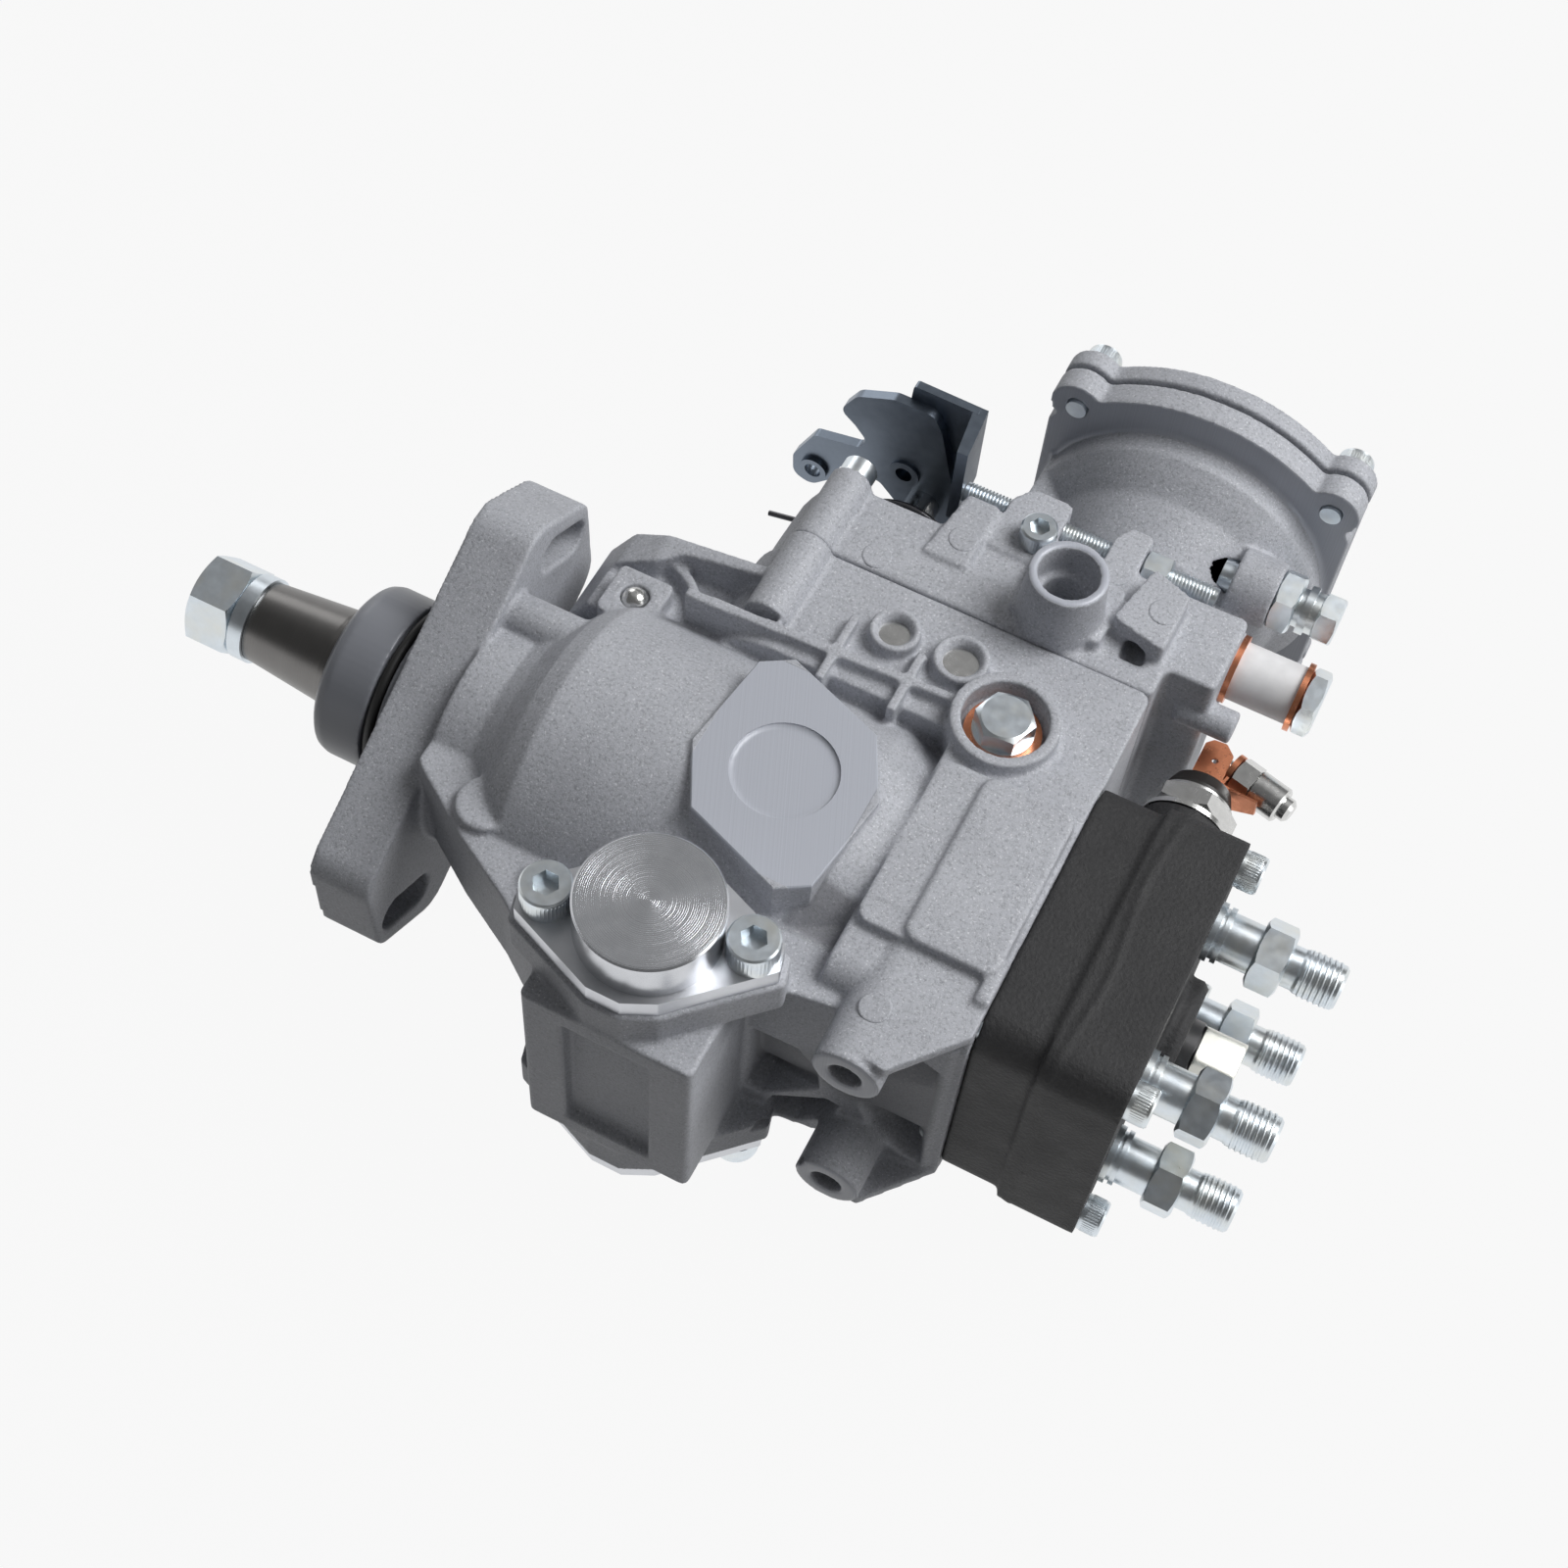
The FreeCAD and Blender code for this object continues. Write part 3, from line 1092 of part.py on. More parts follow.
def build():
    pieces = {
        "pump_housing": pump_housing(), "governor_cover": governor_cover(), "boost_cover": boost_cover(),
        "boost_diaphragm": boost_diaphragm(), "boost_pin": boost_pin(), "boost_spring": boost_spring(),
        "boost_cover_screws": boost_cover_screws(), "cover_screws": cover_screws(),
        "timing_cover_near": timing_cover(1), "timing_cover_far": timing_cover(-1),
        "timing_cover_screws": timing_cover_screws(), "hydraulic_head": hydraulic_head(),
        "head_screws": head_screws(), "delivery_holders": delivery_holders(),
        "delivery_valves": delivery_valves(),
        "head_plug": head_plug(), "stop_solenoid": stop_solenoid(),
        "solenoid_insulator": solenoid_insulator(),
        "terminal_blades": terminal_blades(), "terminal_nut": terminal_nut(),
        "terminal_stud": terminal_stud(),
        "solenoid_armature": solenoid_armature(), "drive_shaft": drive_shaft(), "shaft_key": shaft_key(),
        "spring_washer": spring_washer(), "shaft_nut": shaft_nut(), "shaft_seal": shaft_seal(),
        "pilot_o_ring": pilot_o_ring(), "vane_rotor": vane_rotor(), "vanes": vanes(),
        "vane_ring": vane_ring(),
        "drive_gear": drive_gear(), "cross_coupling": cross_coupling(),
        "cam_plate": cam_plate(), "plunger": plunger(), "plunger_springs": plunger_springs(),
        "control_collar": control_collar(), "roller_ring": roller_ring(), "rollers": rollers(),
        "timing_pin": timing_pin(), "timing_piston": timing_piston(), "timing_spring": timing_spring(),
        "governor_pins": governor_pins(), "governor_cage": governor_cage(), "flyweights": flyweights(),
        "governor_sleeve": governor_sleeve(), "governor_lever": governor_lever(),
        "throttle_shaft": throttle_shaft(),
        "throttle_lever": throttle_lever(), "stop_bracket": stop_bracket(),
        "return_spring": return_spring(),
        "stop_screw": stop_screw(), "stop_nut": stop_nut(), "bush_screw": bush_screw(),
        "full_load_screw": full_load_screw(), "return_bolt": return_bolt(),
        "return_spacer": return_spacer(),
    }
    pieces["copper_washers"] = copper_washers()
    pieces["side_plug"] = side_plug()
    pieces["blanking_plugs"] = Part.makeCompound([core_plugs(), ball_plug()])
    for name, shape in pieces.items():
        shape.exportStep("parts/%s.step" % name)
        print(name, len(shape.Solids), len(shape.Faces), shape.isValid(), round(shape.Volume / 1000, 2))
    print("nodes", len(pieces))


build()
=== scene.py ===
import json
import math

import bpy
import numpy
from mathutils import Matrix, Vector
from mathutils.bvhtree import BVHTree


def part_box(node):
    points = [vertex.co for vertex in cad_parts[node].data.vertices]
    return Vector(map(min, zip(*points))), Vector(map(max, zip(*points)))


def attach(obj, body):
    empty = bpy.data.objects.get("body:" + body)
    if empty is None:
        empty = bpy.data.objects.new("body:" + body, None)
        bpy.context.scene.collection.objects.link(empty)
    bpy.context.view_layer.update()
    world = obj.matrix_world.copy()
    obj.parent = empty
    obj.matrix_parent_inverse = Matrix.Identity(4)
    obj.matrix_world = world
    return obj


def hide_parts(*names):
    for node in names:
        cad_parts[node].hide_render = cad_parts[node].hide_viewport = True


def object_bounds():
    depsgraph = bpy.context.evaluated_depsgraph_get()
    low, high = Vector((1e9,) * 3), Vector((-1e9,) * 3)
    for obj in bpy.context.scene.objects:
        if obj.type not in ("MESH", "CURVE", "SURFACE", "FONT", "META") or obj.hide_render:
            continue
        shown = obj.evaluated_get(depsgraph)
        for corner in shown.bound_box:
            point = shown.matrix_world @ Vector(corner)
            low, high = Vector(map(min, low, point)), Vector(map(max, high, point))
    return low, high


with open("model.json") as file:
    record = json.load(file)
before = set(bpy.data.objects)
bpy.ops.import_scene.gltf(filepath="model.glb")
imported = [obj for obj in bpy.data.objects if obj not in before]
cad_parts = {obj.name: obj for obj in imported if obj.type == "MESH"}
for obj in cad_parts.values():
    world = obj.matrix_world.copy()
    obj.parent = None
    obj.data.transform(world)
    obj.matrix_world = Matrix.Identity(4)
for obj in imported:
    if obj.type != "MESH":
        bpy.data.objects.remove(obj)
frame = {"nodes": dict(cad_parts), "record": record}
cadLow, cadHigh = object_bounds()
nodes = frame["nodes"]
mm = 0.001
print("frame loaded:", len(nodes), "nodes")


# Shader helpers

class Signal:
    def __init__(self, paint, socket):
        self.paint = paint
        self.socket = socket

    def math(self, operation, other=0.0, swap=False, clamp=False):
        first, second = (other, self) if swap else (self, other)
        settings = {"operation": operation, "use_clamp": clamp}
        return self.paint.node("ShaderNodeMath", settings, {0: first, 1: second})

    def __add__(self, other): return self.math("ADD", other)
    def __radd__(self, other): return self.math("ADD", other, True)
    def __sub__(self, other): return self.math("SUBTRACT", other)
    def __rsub__(self, other): return self.math("SUBTRACT", other, True)
    def __mul__(self, other): return self.math("MULTIPLY", other)
    def __rmul__(self, other): return self.math("MULTIPLY", other, True)
    def __truediv__(self, other): return self.math("DIVIDE", other)
    def __rtruediv__(self, other): return self.math("DIVIDE", other, True)
    def clamp(self): return self.math("ADD", 0.0, clamp=True)
    def root(self): return self.math("SQRT")
    def output(self, key): return Signal(self.paint, self.socket.node.outputs[key])

    def above(self, level, soft=0.1):                   # 0 below a level in mm, 1 above it
        return ((self - level * mm) / (soft * mm) + 0.5).clamp()

    def below(self, level, soft=0.1):
        return 1 - self.above(level, soft)

    def between(self, levels, soft=0.1):
        return self.above(levels[0], soft) * self.below(levels[1], soft)


class Paint:
    def __init__(self, name):
        self.material = bpy.data.materials.new(name)
        self.material.use_nodes = True
        self.tree = self.material.node_tree
        self.tree.nodes.clear()

    def node(self, kind, settings=None, sockets=None, out=0):
        made = self.tree.nodes.new(kind)
        for key, value in (settings or {}).items():
            setattr(made, key, value)
        for key, value in (sockets or {}).items():
            target = made.inputs[key]
            if isinstance(value, Signal):
                self.tree.links.new(value.socket, target)
            elif target.type == "RGBA":
                target.default_value = (*value, 1)
            else:
                target.default_value = value
        return Signal(self, made.outputs[out]) if len(made.outputs) else None

    def place(self):                                    # position in the part's own frame, metres
        return self.node("ShaderNodeTexCoord", out="Object")

    def axes(self):
        split = self.node("ShaderNodeSeparateXYZ", None, {0: self.place()})
        return [split.output(axis) for axis in "XYZ"]

    def grain(self, size, detail=2.0, rough=0.5):       # noise whose lumps are about a size in mm
        sockets = {"Vector": self.place(), "Scale": 1.0 / (size * mm), "Detail": detail, "Roughness": rough}
        return self.node("ShaderNodeTexNoise", None, sockets)

    def along(self, signal, size, detail=3.0):          # noise that changes with one number only
        sockets = {"W": signal / (size * mm), "Scale": 1.0, "Detail": detail}
        return self.node("ShaderNodeTexNoise", {"noise_dimensions": "1D"}, sockets)

    def mix(self, factor, a, b):
        return self.node("ShaderNodeMix", {"data_type": "RGBA"}, {0: factor, 6: a, 7: b}, 2)

    def bump(self, height, strength, distance=1.0, below=None):
        sockets = {"Height": height, "Strength": strength, "Distance": distance * mm}
        if below is not None:
            sockets["Normal"] = below
        return self.node("ShaderNodeBump", None, sockets)

    def finish(self, color, roughness, metallic, normal):
        sockets = {"Base Color": color, "Roughness": roughness, "Metallic": metallic, "Normal": normal}
        shader = self.node("ShaderNodeBsdfPrincipled", None, sockets)
        self.node("ShaderNodeOutputMaterial", None, {"Surface": shader})
        return self.material


def tint(color, share):
    return tuple(min(1.0, part * share) for part in color)


# Cast surfaces: a blasted skin with painted glints, painted shade in the housing's rib pockets and on the hub,
# and cut faces where the real part is machined.
# In all the skins a noise is its size in mm, detail and roughness, and a bump is its strength and height in mm.

castSkin = {
    "light": (0.50, 0.515, 0.555), "dark": (0.39, 0.40, 0.435), "pit": (0.17, 0.175, 0.19),
    # deep is the colour of the painted shade in the housing's rib pockets
    "paintedGlint": (0.86, 0.87, 0.90), "cut": (0.455, 0.475, 0.53), "deep": (0.10, 0.10, 0.11),
    "noises": {"cloud": (14.0, 3.0), "grit": (0.85, 4.0, 0.75), "paintedGlint": (0.6, 1.0, 0.9),
               "nick": (2.0, 2.0, 0.8), "peel": (2.4, 2.0), "line": (0.35, 2.0)},
    "levels": {"grit": 0.52, "paintedGlint": 0.60, "nick": 0.70},
    "gains": {"grit": 3.0, "paintedGlint": 7.0, "nick": 14.0},
    "shares": {"paintedGlint": 0.52, "nick": 0.5, "deep": 0.65},
    "lineWay": (0.92, 0.39), "cutTones": (0.9, 1.1), "hubPaintedShade": 0.5,
    "rough": 0.56, "cloudRough": 0.12, "gritRough": 0.16, "cutRough": 0.36, "metal": 0.05,
    "bumps": {"grit": (0.6, 0.25), "peel": (0.25, 0.25), "line": (0.10, 0.02)},
}
cutFaces = {"padX": (84.5, 129.5), "padY": (-30.0, 28.0), "padZ": (46.6, 49.0), "hubX": -0.5,
            "bossX": (144.0, 165.0), "bossY": -61.25, "ringZ": 57.2, "flangeY": (149.2, 150.2),
            "boostY": 178.9}
# where the painted shade lies: inside this radius, below this y, along this x span, with soft edges
paintedShadeZone = {"radius": 47.5, "side": -20.0, "length": (123.0, 174.0), "soft": 2.0}


def castPaint(name, cutMask, paintedShadeMask=None):
    look, noises, levels = castSkin, castSkin["noises"], castSkin["levels"]
    gains, shares, bumps = castSkin["gains"], castSkin["shares"], castSkin["bumps"]
    paint = Paint(name)
    x, y, z = paint.axes()
    cloud = paint.grain(*noises["cloud"])
    grit = paint.grain(*noises["grit"])
    # painted glints: sparse bright specks in the skin colour stand in for the sparkle of the blasted metal
    paintedGlint = (paint.grain(*noises["paintedGlint"]) - levels["paintedGlint"]) * gains["paintedGlint"]
    nicks = (paint.grain(*noises["nick"]) - levels["nick"]) * gains["nick"]
    peel = paint.grain(*noises["peel"])
    cut = cutMask(x, y, z)
    lines = paint.along(x * look["lineWay"][0] + y * look["lineWay"][1], *noises["line"])
    skin = paint.mix(cloud, look["dark"], look["light"])
    skin = paint.mix(((levels["grit"] - grit) * gains["grit"]).clamp(), skin, look["pit"])
    skin = paint.mix(paintedGlint.clamp() * shares["paintedGlint"], skin, look["paintedGlint"])
    skin = paint.mix(nicks.clamp() * shares["nick"], skin, look["pit"])
    # painted shade: the rib pockets are mixed towards the deep colour
    if paintedShadeMask:
        skin = paint.mix(paintedShadeMask(x, y, z) * shares["deep"], skin, look["deep"])
    face = paint.mix(lines, *(tint(look["cut"], tone) for tone in look["cutTones"]))
    # painted shade: the turned hub in front of the flange is darkened to half the cut tone
    face = paint.mix(x.below(cutFaces["hubX"]), face, tint(look["cut"], look["hubPaintedShade"]))
    rough = look["rough"] + (cloud - 0.5) * look["cloudRough"] + (grit - 0.5) * look["gritRough"]
    rough = rough * (1 - cut) + look["cutRough"] * cut
    normal = paint.bump(grit * (1 - cut), *bumps["grit"])
    normal = paint.bump(peel * (1 - cut), *bumps["peel"], normal)
    normal = paint.bump(lines * cut, *bumps["line"], normal)
    return paint.finish(paint.mix(cut, skin, face), rough, look["metal"], normal)


def housingCuts(x, y, z):
    pad = x.between(cutFaces["padX"]) * y.between(cutFaces["padY"]) * z.between(cutFaces["padZ"])
    bosses = y.below(cutFaces["bossY"]) * x.between(cutFaces["bossX"])
    return (pad + x.below(cutFaces["hubX"]) + bosses).clamp()


def housingPaintedShade(x, y, z):                               # painted shade: the rib pockets are darkened towards near black, where shade falls
    soft = paintedShadeZone["soft"]
    reach = (y * y + z * z).root()
    low = y.below(paintedShadeZone["side"], soft)
    return reach.below(paintedShadeZone["radius"], soft) * low * x.between(paintedShadeZone["length"], soft)


def coverCuts(x, y, z):
    return (z.above(cutFaces["ringZ"]) + y.between(cutFaces["flangeY"])).clamp()


def boostCuts(x, y, z):
    return y.above(cutFaces["boostY"])


# Head: black phosphated iron with a coarse sand skin

ironSkin = {"deep": (0.011, 0.011, 0.012), "lit": (0.036, 0.036, 0.038), "rough": 0.66, "cloudRough": 0.2,
            "noises": {"cloud": (9.0, 4.0), "sand": (1.1, 4.0, 0.6), "fine": (0.35, 2.0)},
            "bumps": {"sand": (0.6, 0.5), "fine": (0.35, 0.2)}}


def ironPaint():
    paint = Paint("headIron")
    noises, bumps = ironSkin["noises"], ironSkin["bumps"]
    cloud = paint.grain(*noises["cloud"])
    sand = paint.grain(*noises["sand"])
    fine = paint.grain(*noises["fine"])
    color = paint.mix(sand, ironSkin["deep"], ironSkin["lit"])
    rough = ironSkin["rough"] + (cloud - 0.5) * ironSkin["cloudRough"]
    normal = paint.bump(fine, *bumps["fine"], paint.bump(sand, *bumps["sand"]))
    return paint.finish(color, rough, 0.0, normal)


# Turned, spun and plated metals

spunSkin = {"color": (0.70, 0.715, 0.75), "tone": 0.82, "centre": (99.5, -57.0), "radius": 18.6, "level": 52.0,
            "rough": 0.24, "plateRough": 0.14, "cloudRough": 0.08, "metal": 0.95,
            "noises": {"cloud": (5.0, 3.0), "grit": (0.5, 3.0, 0.6), "ring": (0.16, 2.0)},
            "bumps": {"grit": (0.14, 0.1), "ring": (0.55, 0.03)}}


def spunPaint():                                        # rings on the cups, a pressed skin on their plates
    paint = Paint("spunAluminium")
    noises, bumps = spunSkin["noises"], spunSkin["bumps"]
    x, y, z = paint.axes()
    dx = x - spunSkin["centre"][0] * mm
    dy = y - spunSkin["centre"][1] * mm
    reach = (dx * dx + dy * dy).root()
    cup = reach.below(spunSkin["radius"]) * (z * z).root().above(spunSkin["level"])
    rings = paint.along(reach, *noises["ring"])
    cloud = paint.grain(*noises["cloud"])
    grit = paint.grain(*noises["grit"])
    color = paint.mix(cloud, tint(spunSkin["color"], spunSkin["tone"]), spunSkin["color"])
    rough = spunSkin["rough"] + (cloud - 0.5) * spunSkin["cloudRough"] + (1 - cup) * spunSkin["plateRough"]
    normal = paint.bump(grit * (1 - cup), *bumps["grit"])
    normal = paint.bump(rings * cup, *bumps["ring"], normal)
    return paint.finish(color, rough, spunSkin["metal"], normal)


platedSkin = {"cloud": (2.6, 3.0), "fine": (0.3, 2.0), "cloudRough": 0.14, "fineRough": 0.05,
              "patch": (7.0, 2.0), "patchLevel": 0.42, "patchGain": 2.2, "zoneTones": (0.85, 1.1),
              "bump": (0.10, 0.05)}


def platedPaint(name, color, rough, warm=None, mottle=0.16, metal=1.0, zone=None):
    look = platedSkin
    paint = Paint(name)
    cloud = paint.grain(*look["cloud"])
    fine = paint.grain(*look["fine"])
    shade = paint.mix(cloud, tint(color, 1 - mottle), tint(color, 1 + mottle))
    if warm:
        shade = paint.mix((paint.grain(*look["patch"]) - look["patchLevel"]) * look["patchGain"], shade, warm)
    if zone:                                            # one end of the part has this slot plated bright
        x = paint.axes()[0]
        inside = x.above(zone["level"]) if zone["side"] > 0 else x.below(zone["level"])
        bright = paint.mix(cloud, *(tint(zone["color"], tone) for tone in look["zoneTones"]))
        shade = paint.mix(inside, shade, bright)
    roughness = rough + (cloud - 0.5) * look["cloudRough"] + (fine - 0.5) * look["fineRough"]
    return paint.finish(shade, roughness, metal, paint.bump(fine, *look["bump"]))


turnedSkin = {"ring": (0.22, 3.0), "cloud": (6.0, 3.0), "ringShare": 0.6, "tones": (0.72, 1.25),
              "ringRough": 0.14, "bump": (0.16, 0.03)}


def turnedPaint(name, color, rough):
    look = turnedSkin
    paint = Paint(name)
    rings = paint.along(paint.axes()[0], *look["ring"])
    cloud = paint.grain(*look["cloud"])
    blend = rings * look["ringShare"] + cloud * (1 - look["ringShare"])
    shade = paint.mix(blend, *(tint(color, tone) for tone in look["tones"]))
    normal = paint.bump(rings, *look["bump"])
    return paint.finish(shade, rough + (rings - 0.5) * look["ringRough"], 1.0, normal)


copperSkin = {"color": (0.86, 0.36, 0.20), "dull": (0.50, 0.17, 0.09), "dullShare": 0.8, "rough": 0.3,
              "cloudRough": 0.2, "metal": 0.95, "cloud": (1.6, 3.0), "fine": (0.35, 2.0), "bump": (0.12, 0.06)}


def copperPaint():
    look = copperSkin
    paint = Paint("copperWashers")
    cloud = paint.grain(*look["cloud"])
    fine = paint.grain(*look["fine"])
    shade = paint.mix(cloud * look["dullShare"], look["color"], look["dull"])
    rough = look["rough"] + (cloud - 0.5) * look["cloudRough"]
    return paint.finish(shade, rough, look["metal"], paint.bump(fine, *look["bump"]))


mouldedSkin = {"cloud": (4.0, 3.0), "fine": (0.4, 2.0), "tones": (0.86, 1.12), "cloudRough": 0.12,
               "bump": (0.12, 0.08)}


def mouldedPaint(name, color, rough):
    look = mouldedSkin
    paint = Paint(name)
    cloud = paint.grain(*look["cloud"])
    fine = paint.grain(*look["fine"])
    shade = paint.mix(cloud, *(tint(color, tone) for tone in look["tones"]))
    return paint.finish(shade, rough + (cloud - 0.5) * look["cloudRough"], 0.0, paint.bump(fine, *look["bump"]))


zinc = (0.72, 0.78, 0.83)
plugEnd = {"side": 1, "level": 226.3, "color": (0.84, 0.84, 0.78)}     # the plug's hexagon stands past this x
washerEnd = {"side": -1, "level": -50.0, "color": zinc}                # the washer stands before this x
paints = {
    "housing_casting": castPaint("housingAluminium", housingCuts, housingPaintedShade),
    "cover_casting": castPaint("coverAluminium", coverCuts),
    "boost_casting": castPaint("boostAluminium", boostCuts),
    "spun_aluminium": spunPaint(),
    "head_iron": ironPaint(),
    "shaft_steel": turnedPaint("shaftSteel", (0.20, 0.195, 0.19), 0.34),
    "zinc_steel": platedPaint("zincPlate", zinc, 0.32, warm=(0.76, 0.77, 0.73)),
    "lever_zinc": platedPaint("leverPlate", (0.20, 0.235, 0.285), 0.34),
    "bright_steel": platedPaint("brightSteel", (0.68, 0.68, 0.67), 0.25),
    "dark_steel": platedPaint("darkSteel", (0.09, 0.09, 0.092), 0.4, metal=0.8, zone=plugEnd),
    "spring_steel": platedPaint("springSteel", (0.16, 0.16, 0.17), 0.32, zone=washerEnd),
    "copper": copperPaint(),
    "white_plastic": mouldedPaint("whiteSleeve", (0.78, 0.78, 0.79), 0.42),
    "black_plastic": mouldedPaint("blackInsulator", (0.02, 0.018, 0.017), 0.4),
    "black_rubber": mouldedPaint("blackSeal", (0.015, 0.015, 0.015), 0.55),
}
slotOf = {entry["node"]: entry["material_slot"] for entry in frame["record"]["subparts"]}
bodyOf = {name: body for body, names in frame["record"]["behaviour"]["bodies"].items() for name in names}
for name, node in nodes.items():
    node.data.materials.clear()
    node.data.materials.append(paints["boost_casting" if name == "boost_cover" else slotOf[name]])
print("paints made:", len(paints))


# Camera

view = {"position": (0.2253, -0.2939, 0.5609), "right": (0.89003, 0.45280, 0.05296),
        "up": (-0.41239, 0.75016, 0.51692), "back": (0.19434, -0.48192, 0.85440),
        "lens": 55.97, "sensor": 36.0, "pixels": 1600, "near": 0.05, "far": 20.0}


def makeCamera():
    data = bpy.data.cameras.new("photoCamera")
    data.lens = view["lens"]
    data.sensor_width = view["sensor"]
    data.clip_start = view["near"]
    data.clip_end = view["far"]
    camera = bpy.data.objects.new("photoCamera", data)
    bpy.context.scene.collection.objects.link(camera)
    axes = Matrix([Vector(view[name]).normalized() for name in ("right", "up", "back")]).transposed()
    camera.matrix_world = Matrix.Translation(Vector(view["position"])) @ axes.to_4x4()
    bpy.context.scene.camera = camera


makeCamera()


# Meshes

def newPiece(name, mesh, node, paint, replaced=()):
    piece = bpy.data.objects.new(name, mesh)
    bpy.context.scene.collection.objects.link(piece)
    mesh.materials.clear()
    mesh.materials.append(paint)
    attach(piece, bodyOf[node])
    if replaced:
        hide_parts(*replaced)
    return piece


def evaluated(piece):
    graph = bpy.context.evaluated_depsgraph_get()
    return bpy.data.meshes.new_from_object(piece.evaluated_get(graph), depsgraph=graph)


def roundGrid(radiusAt, length, rows, sides, bore=0.0):  # closed, round the local X axis, in mm
    points = []
    faces = []
    for i in range(rows):
        s = length * i / (rows - 1)
        for j in range(sides):
            turn = 2 * math.pi * j / sides
            radius = radiusAt(s, turn)
            points.append((s, radius * math.cos(turn), radius * math.sin(turn)))
    for i in range(rows - 1):
        for j in range(sides):
            k = (j + 1) % sides
            faces.append((i * sides + j, i * sides + k, (i + 1) * sides + k, (i + 1) * sides + j))
    if not bore:
        faces.append(tuple(reversed(range(sides))))
        faces.append(tuple(range((rows - 1) * sides, rows * sides)))
        return points, faces
    first = rows * sides
    for s in (0.0, length):
        for j in range(sides):
            turn = 2 * math.pi * j / sides
            points.append((s, bore * math.cos(turn), bore * math.sin(turn)))
    for j in range(sides):
        k = (j + 1) % sides
        last = (rows - 1) * sides
        faces.append((first + j, first + k, k, j))
        faces.append((last + j, last + k, first + sides + k, first + sides + j))
        faces.append((first + sides + j, first + sides + k, first + k, first + j))
    return points, faces


def aimed(base, way):
    turn = Vector((1, 0, 0)).rotation_difference(Vector(way).normalized()).to_matrix().to_4x4()
    return Matrix.Translation(Vector(base) * mm) @ turn


def gathered(name, parts):                              # several surfaces as one mesh, parts in mm
    points = []
    faces = []
    for (local, shapes), place in parts:
        start = len(points)
        points += [place @ (Vector(p) * mm) for p in local]
        faces += [tuple(start + v for v in face) for face in shapes]
    mesh = bpy.data.meshes.new(name)
    mesh.from_pydata(points, [], faces)
    mesh.validate()
    for polygon in mesh.polygons:
        polygon.use_smooth = len(polygon.vertices) == 4
    return mesh


# Castings: the sharp solids get rounded corners, and their cut faces stay crisp

castings = {
    "pump_housing": {"piece": "housingCasting", "voxel": 0.7, "passes": 3},
    "governor_cover": {"piece": "governorCasting", "voxel": 0.75, "passes": 3},
    "boost_cover": {"piece": "boostCasting", "voxel": 0.75, "passes": 3},
    "hydraulic_head": {"piece": "headCasting", "voxel": 0.8, "passes": 4},
}
crisp = {"padX": (84.0, 130.0), "padY": (-31.0, 29.0), "padZ": 46.2, "hubX": 0.6, "bossX": (144.0, 165.0),
         "bossY": -60.8, "ringZ": 56.6, "flangeY": (148.6, 150.8), "headX": 216.4}


def within(value, levels):
    return levels[0] < value < levels[1]


def isCut(x, y, z):                                     # vertices on machined faces keep their place
    onPad = z > crisp["padZ"] and within(x, crisp["padX"]) and within(y, crisp["padY"])
    onBoss = y < crisp["bossY"] and within(x, crisp["bossX"])
    onEnd = x < crisp["hubX"] or x > crisp["headX"]
    return onPad or onBoss or onEnd or z > crisp["ringZ"] or within(y, crisp["flangeY"])


seam = {"x": 199.0, "wave": 1.1, "turns": (0.11, 0.07), "width": 1.3, "height": 0.42, "step": 0.22,
        "wall": 40.5, "corner": 41.0}


def headSeam(mesh):                                     # the parting line round the head, and its draft
    wall = seam["wall"]
    for vertex in mesh.vertices:
        x, y, z = vertex.co / mm
        if min(abs(y), abs(z)) > seam["corner"] or max(abs(y), abs(z)) > wall:
            middle = seam["x"] + seam["wave"] * math.sin(y * seam["turns"][0] + z * seam["turns"][1])
            rise = seam["height"] * max(0.0, 1 - ((x - middle) / seam["width"]) ** 2)
            rise += seam["step"] if x > middle else 0.0
            reach = Vector((0, y, z)).normalized()
            vertex.co.y += reach.y * rise * mm if abs(y) > wall else 0
            vertex.co.z += reach.z * rise * mm if abs(z) > wall else 0


# Pockets between the ribs and the panel on the timing box, seen from the front: outlines as (x, z)

pockets = {"outlines": [[(124.5, 8), (124.5, -27), (129, -27), (144, -14), (143, -4), (137, 5)],
                        [(132, -28), (146, -19), (150, -21), (147, -30), (139, -37), (130, -37)],
                        [(154, -13), (166, -9), (173, -12), (173, -35), (167, -33), (158, -24)],
                        [(146, 22), (146, 2), (152, -6), (170, -3), (173, 4), (173, 20), (166, 24)]],
           "radius": 45.8, "edge": 1.6, "front": -43.6}
panel = {"outline": [(87.5, -27), (87.5, 27), (111.5, 27), (111.5, -27)],
         "floor": -76.2, "edge": 0.8, "front": -77.4}
facing = {"slope": -0.55, "split": 124.0}               # faces that look forward; x between panel and pockets


def insideBy(outline, x, z):                            # how far points lie inside a convex outline, in mm
    corners = numpy.array(outline, float)
    middle = corners.mean(axis=0)
    least = numpy.full(x.shape, 1e9)
    for a, b in zip(numpy.roll(corners, 1, axis=0), corners):
        normal = numpy.array((b[1] - a[1], a[0] - b[0])) / math.dist(a, b)
        normal *= math.copysign(1.0, normal @ (middle - a))
        least = numpy.minimum(least, (x - a[0]) * normal[0] + (z - a[1]) * normal[1])
    return least


def vertexData(mesh, field):
    values = numpy.empty(len(mesh.vertices) * 3)
    mesh.vertices.foreach_get(field, values)
    return values.reshape(-1, 3)


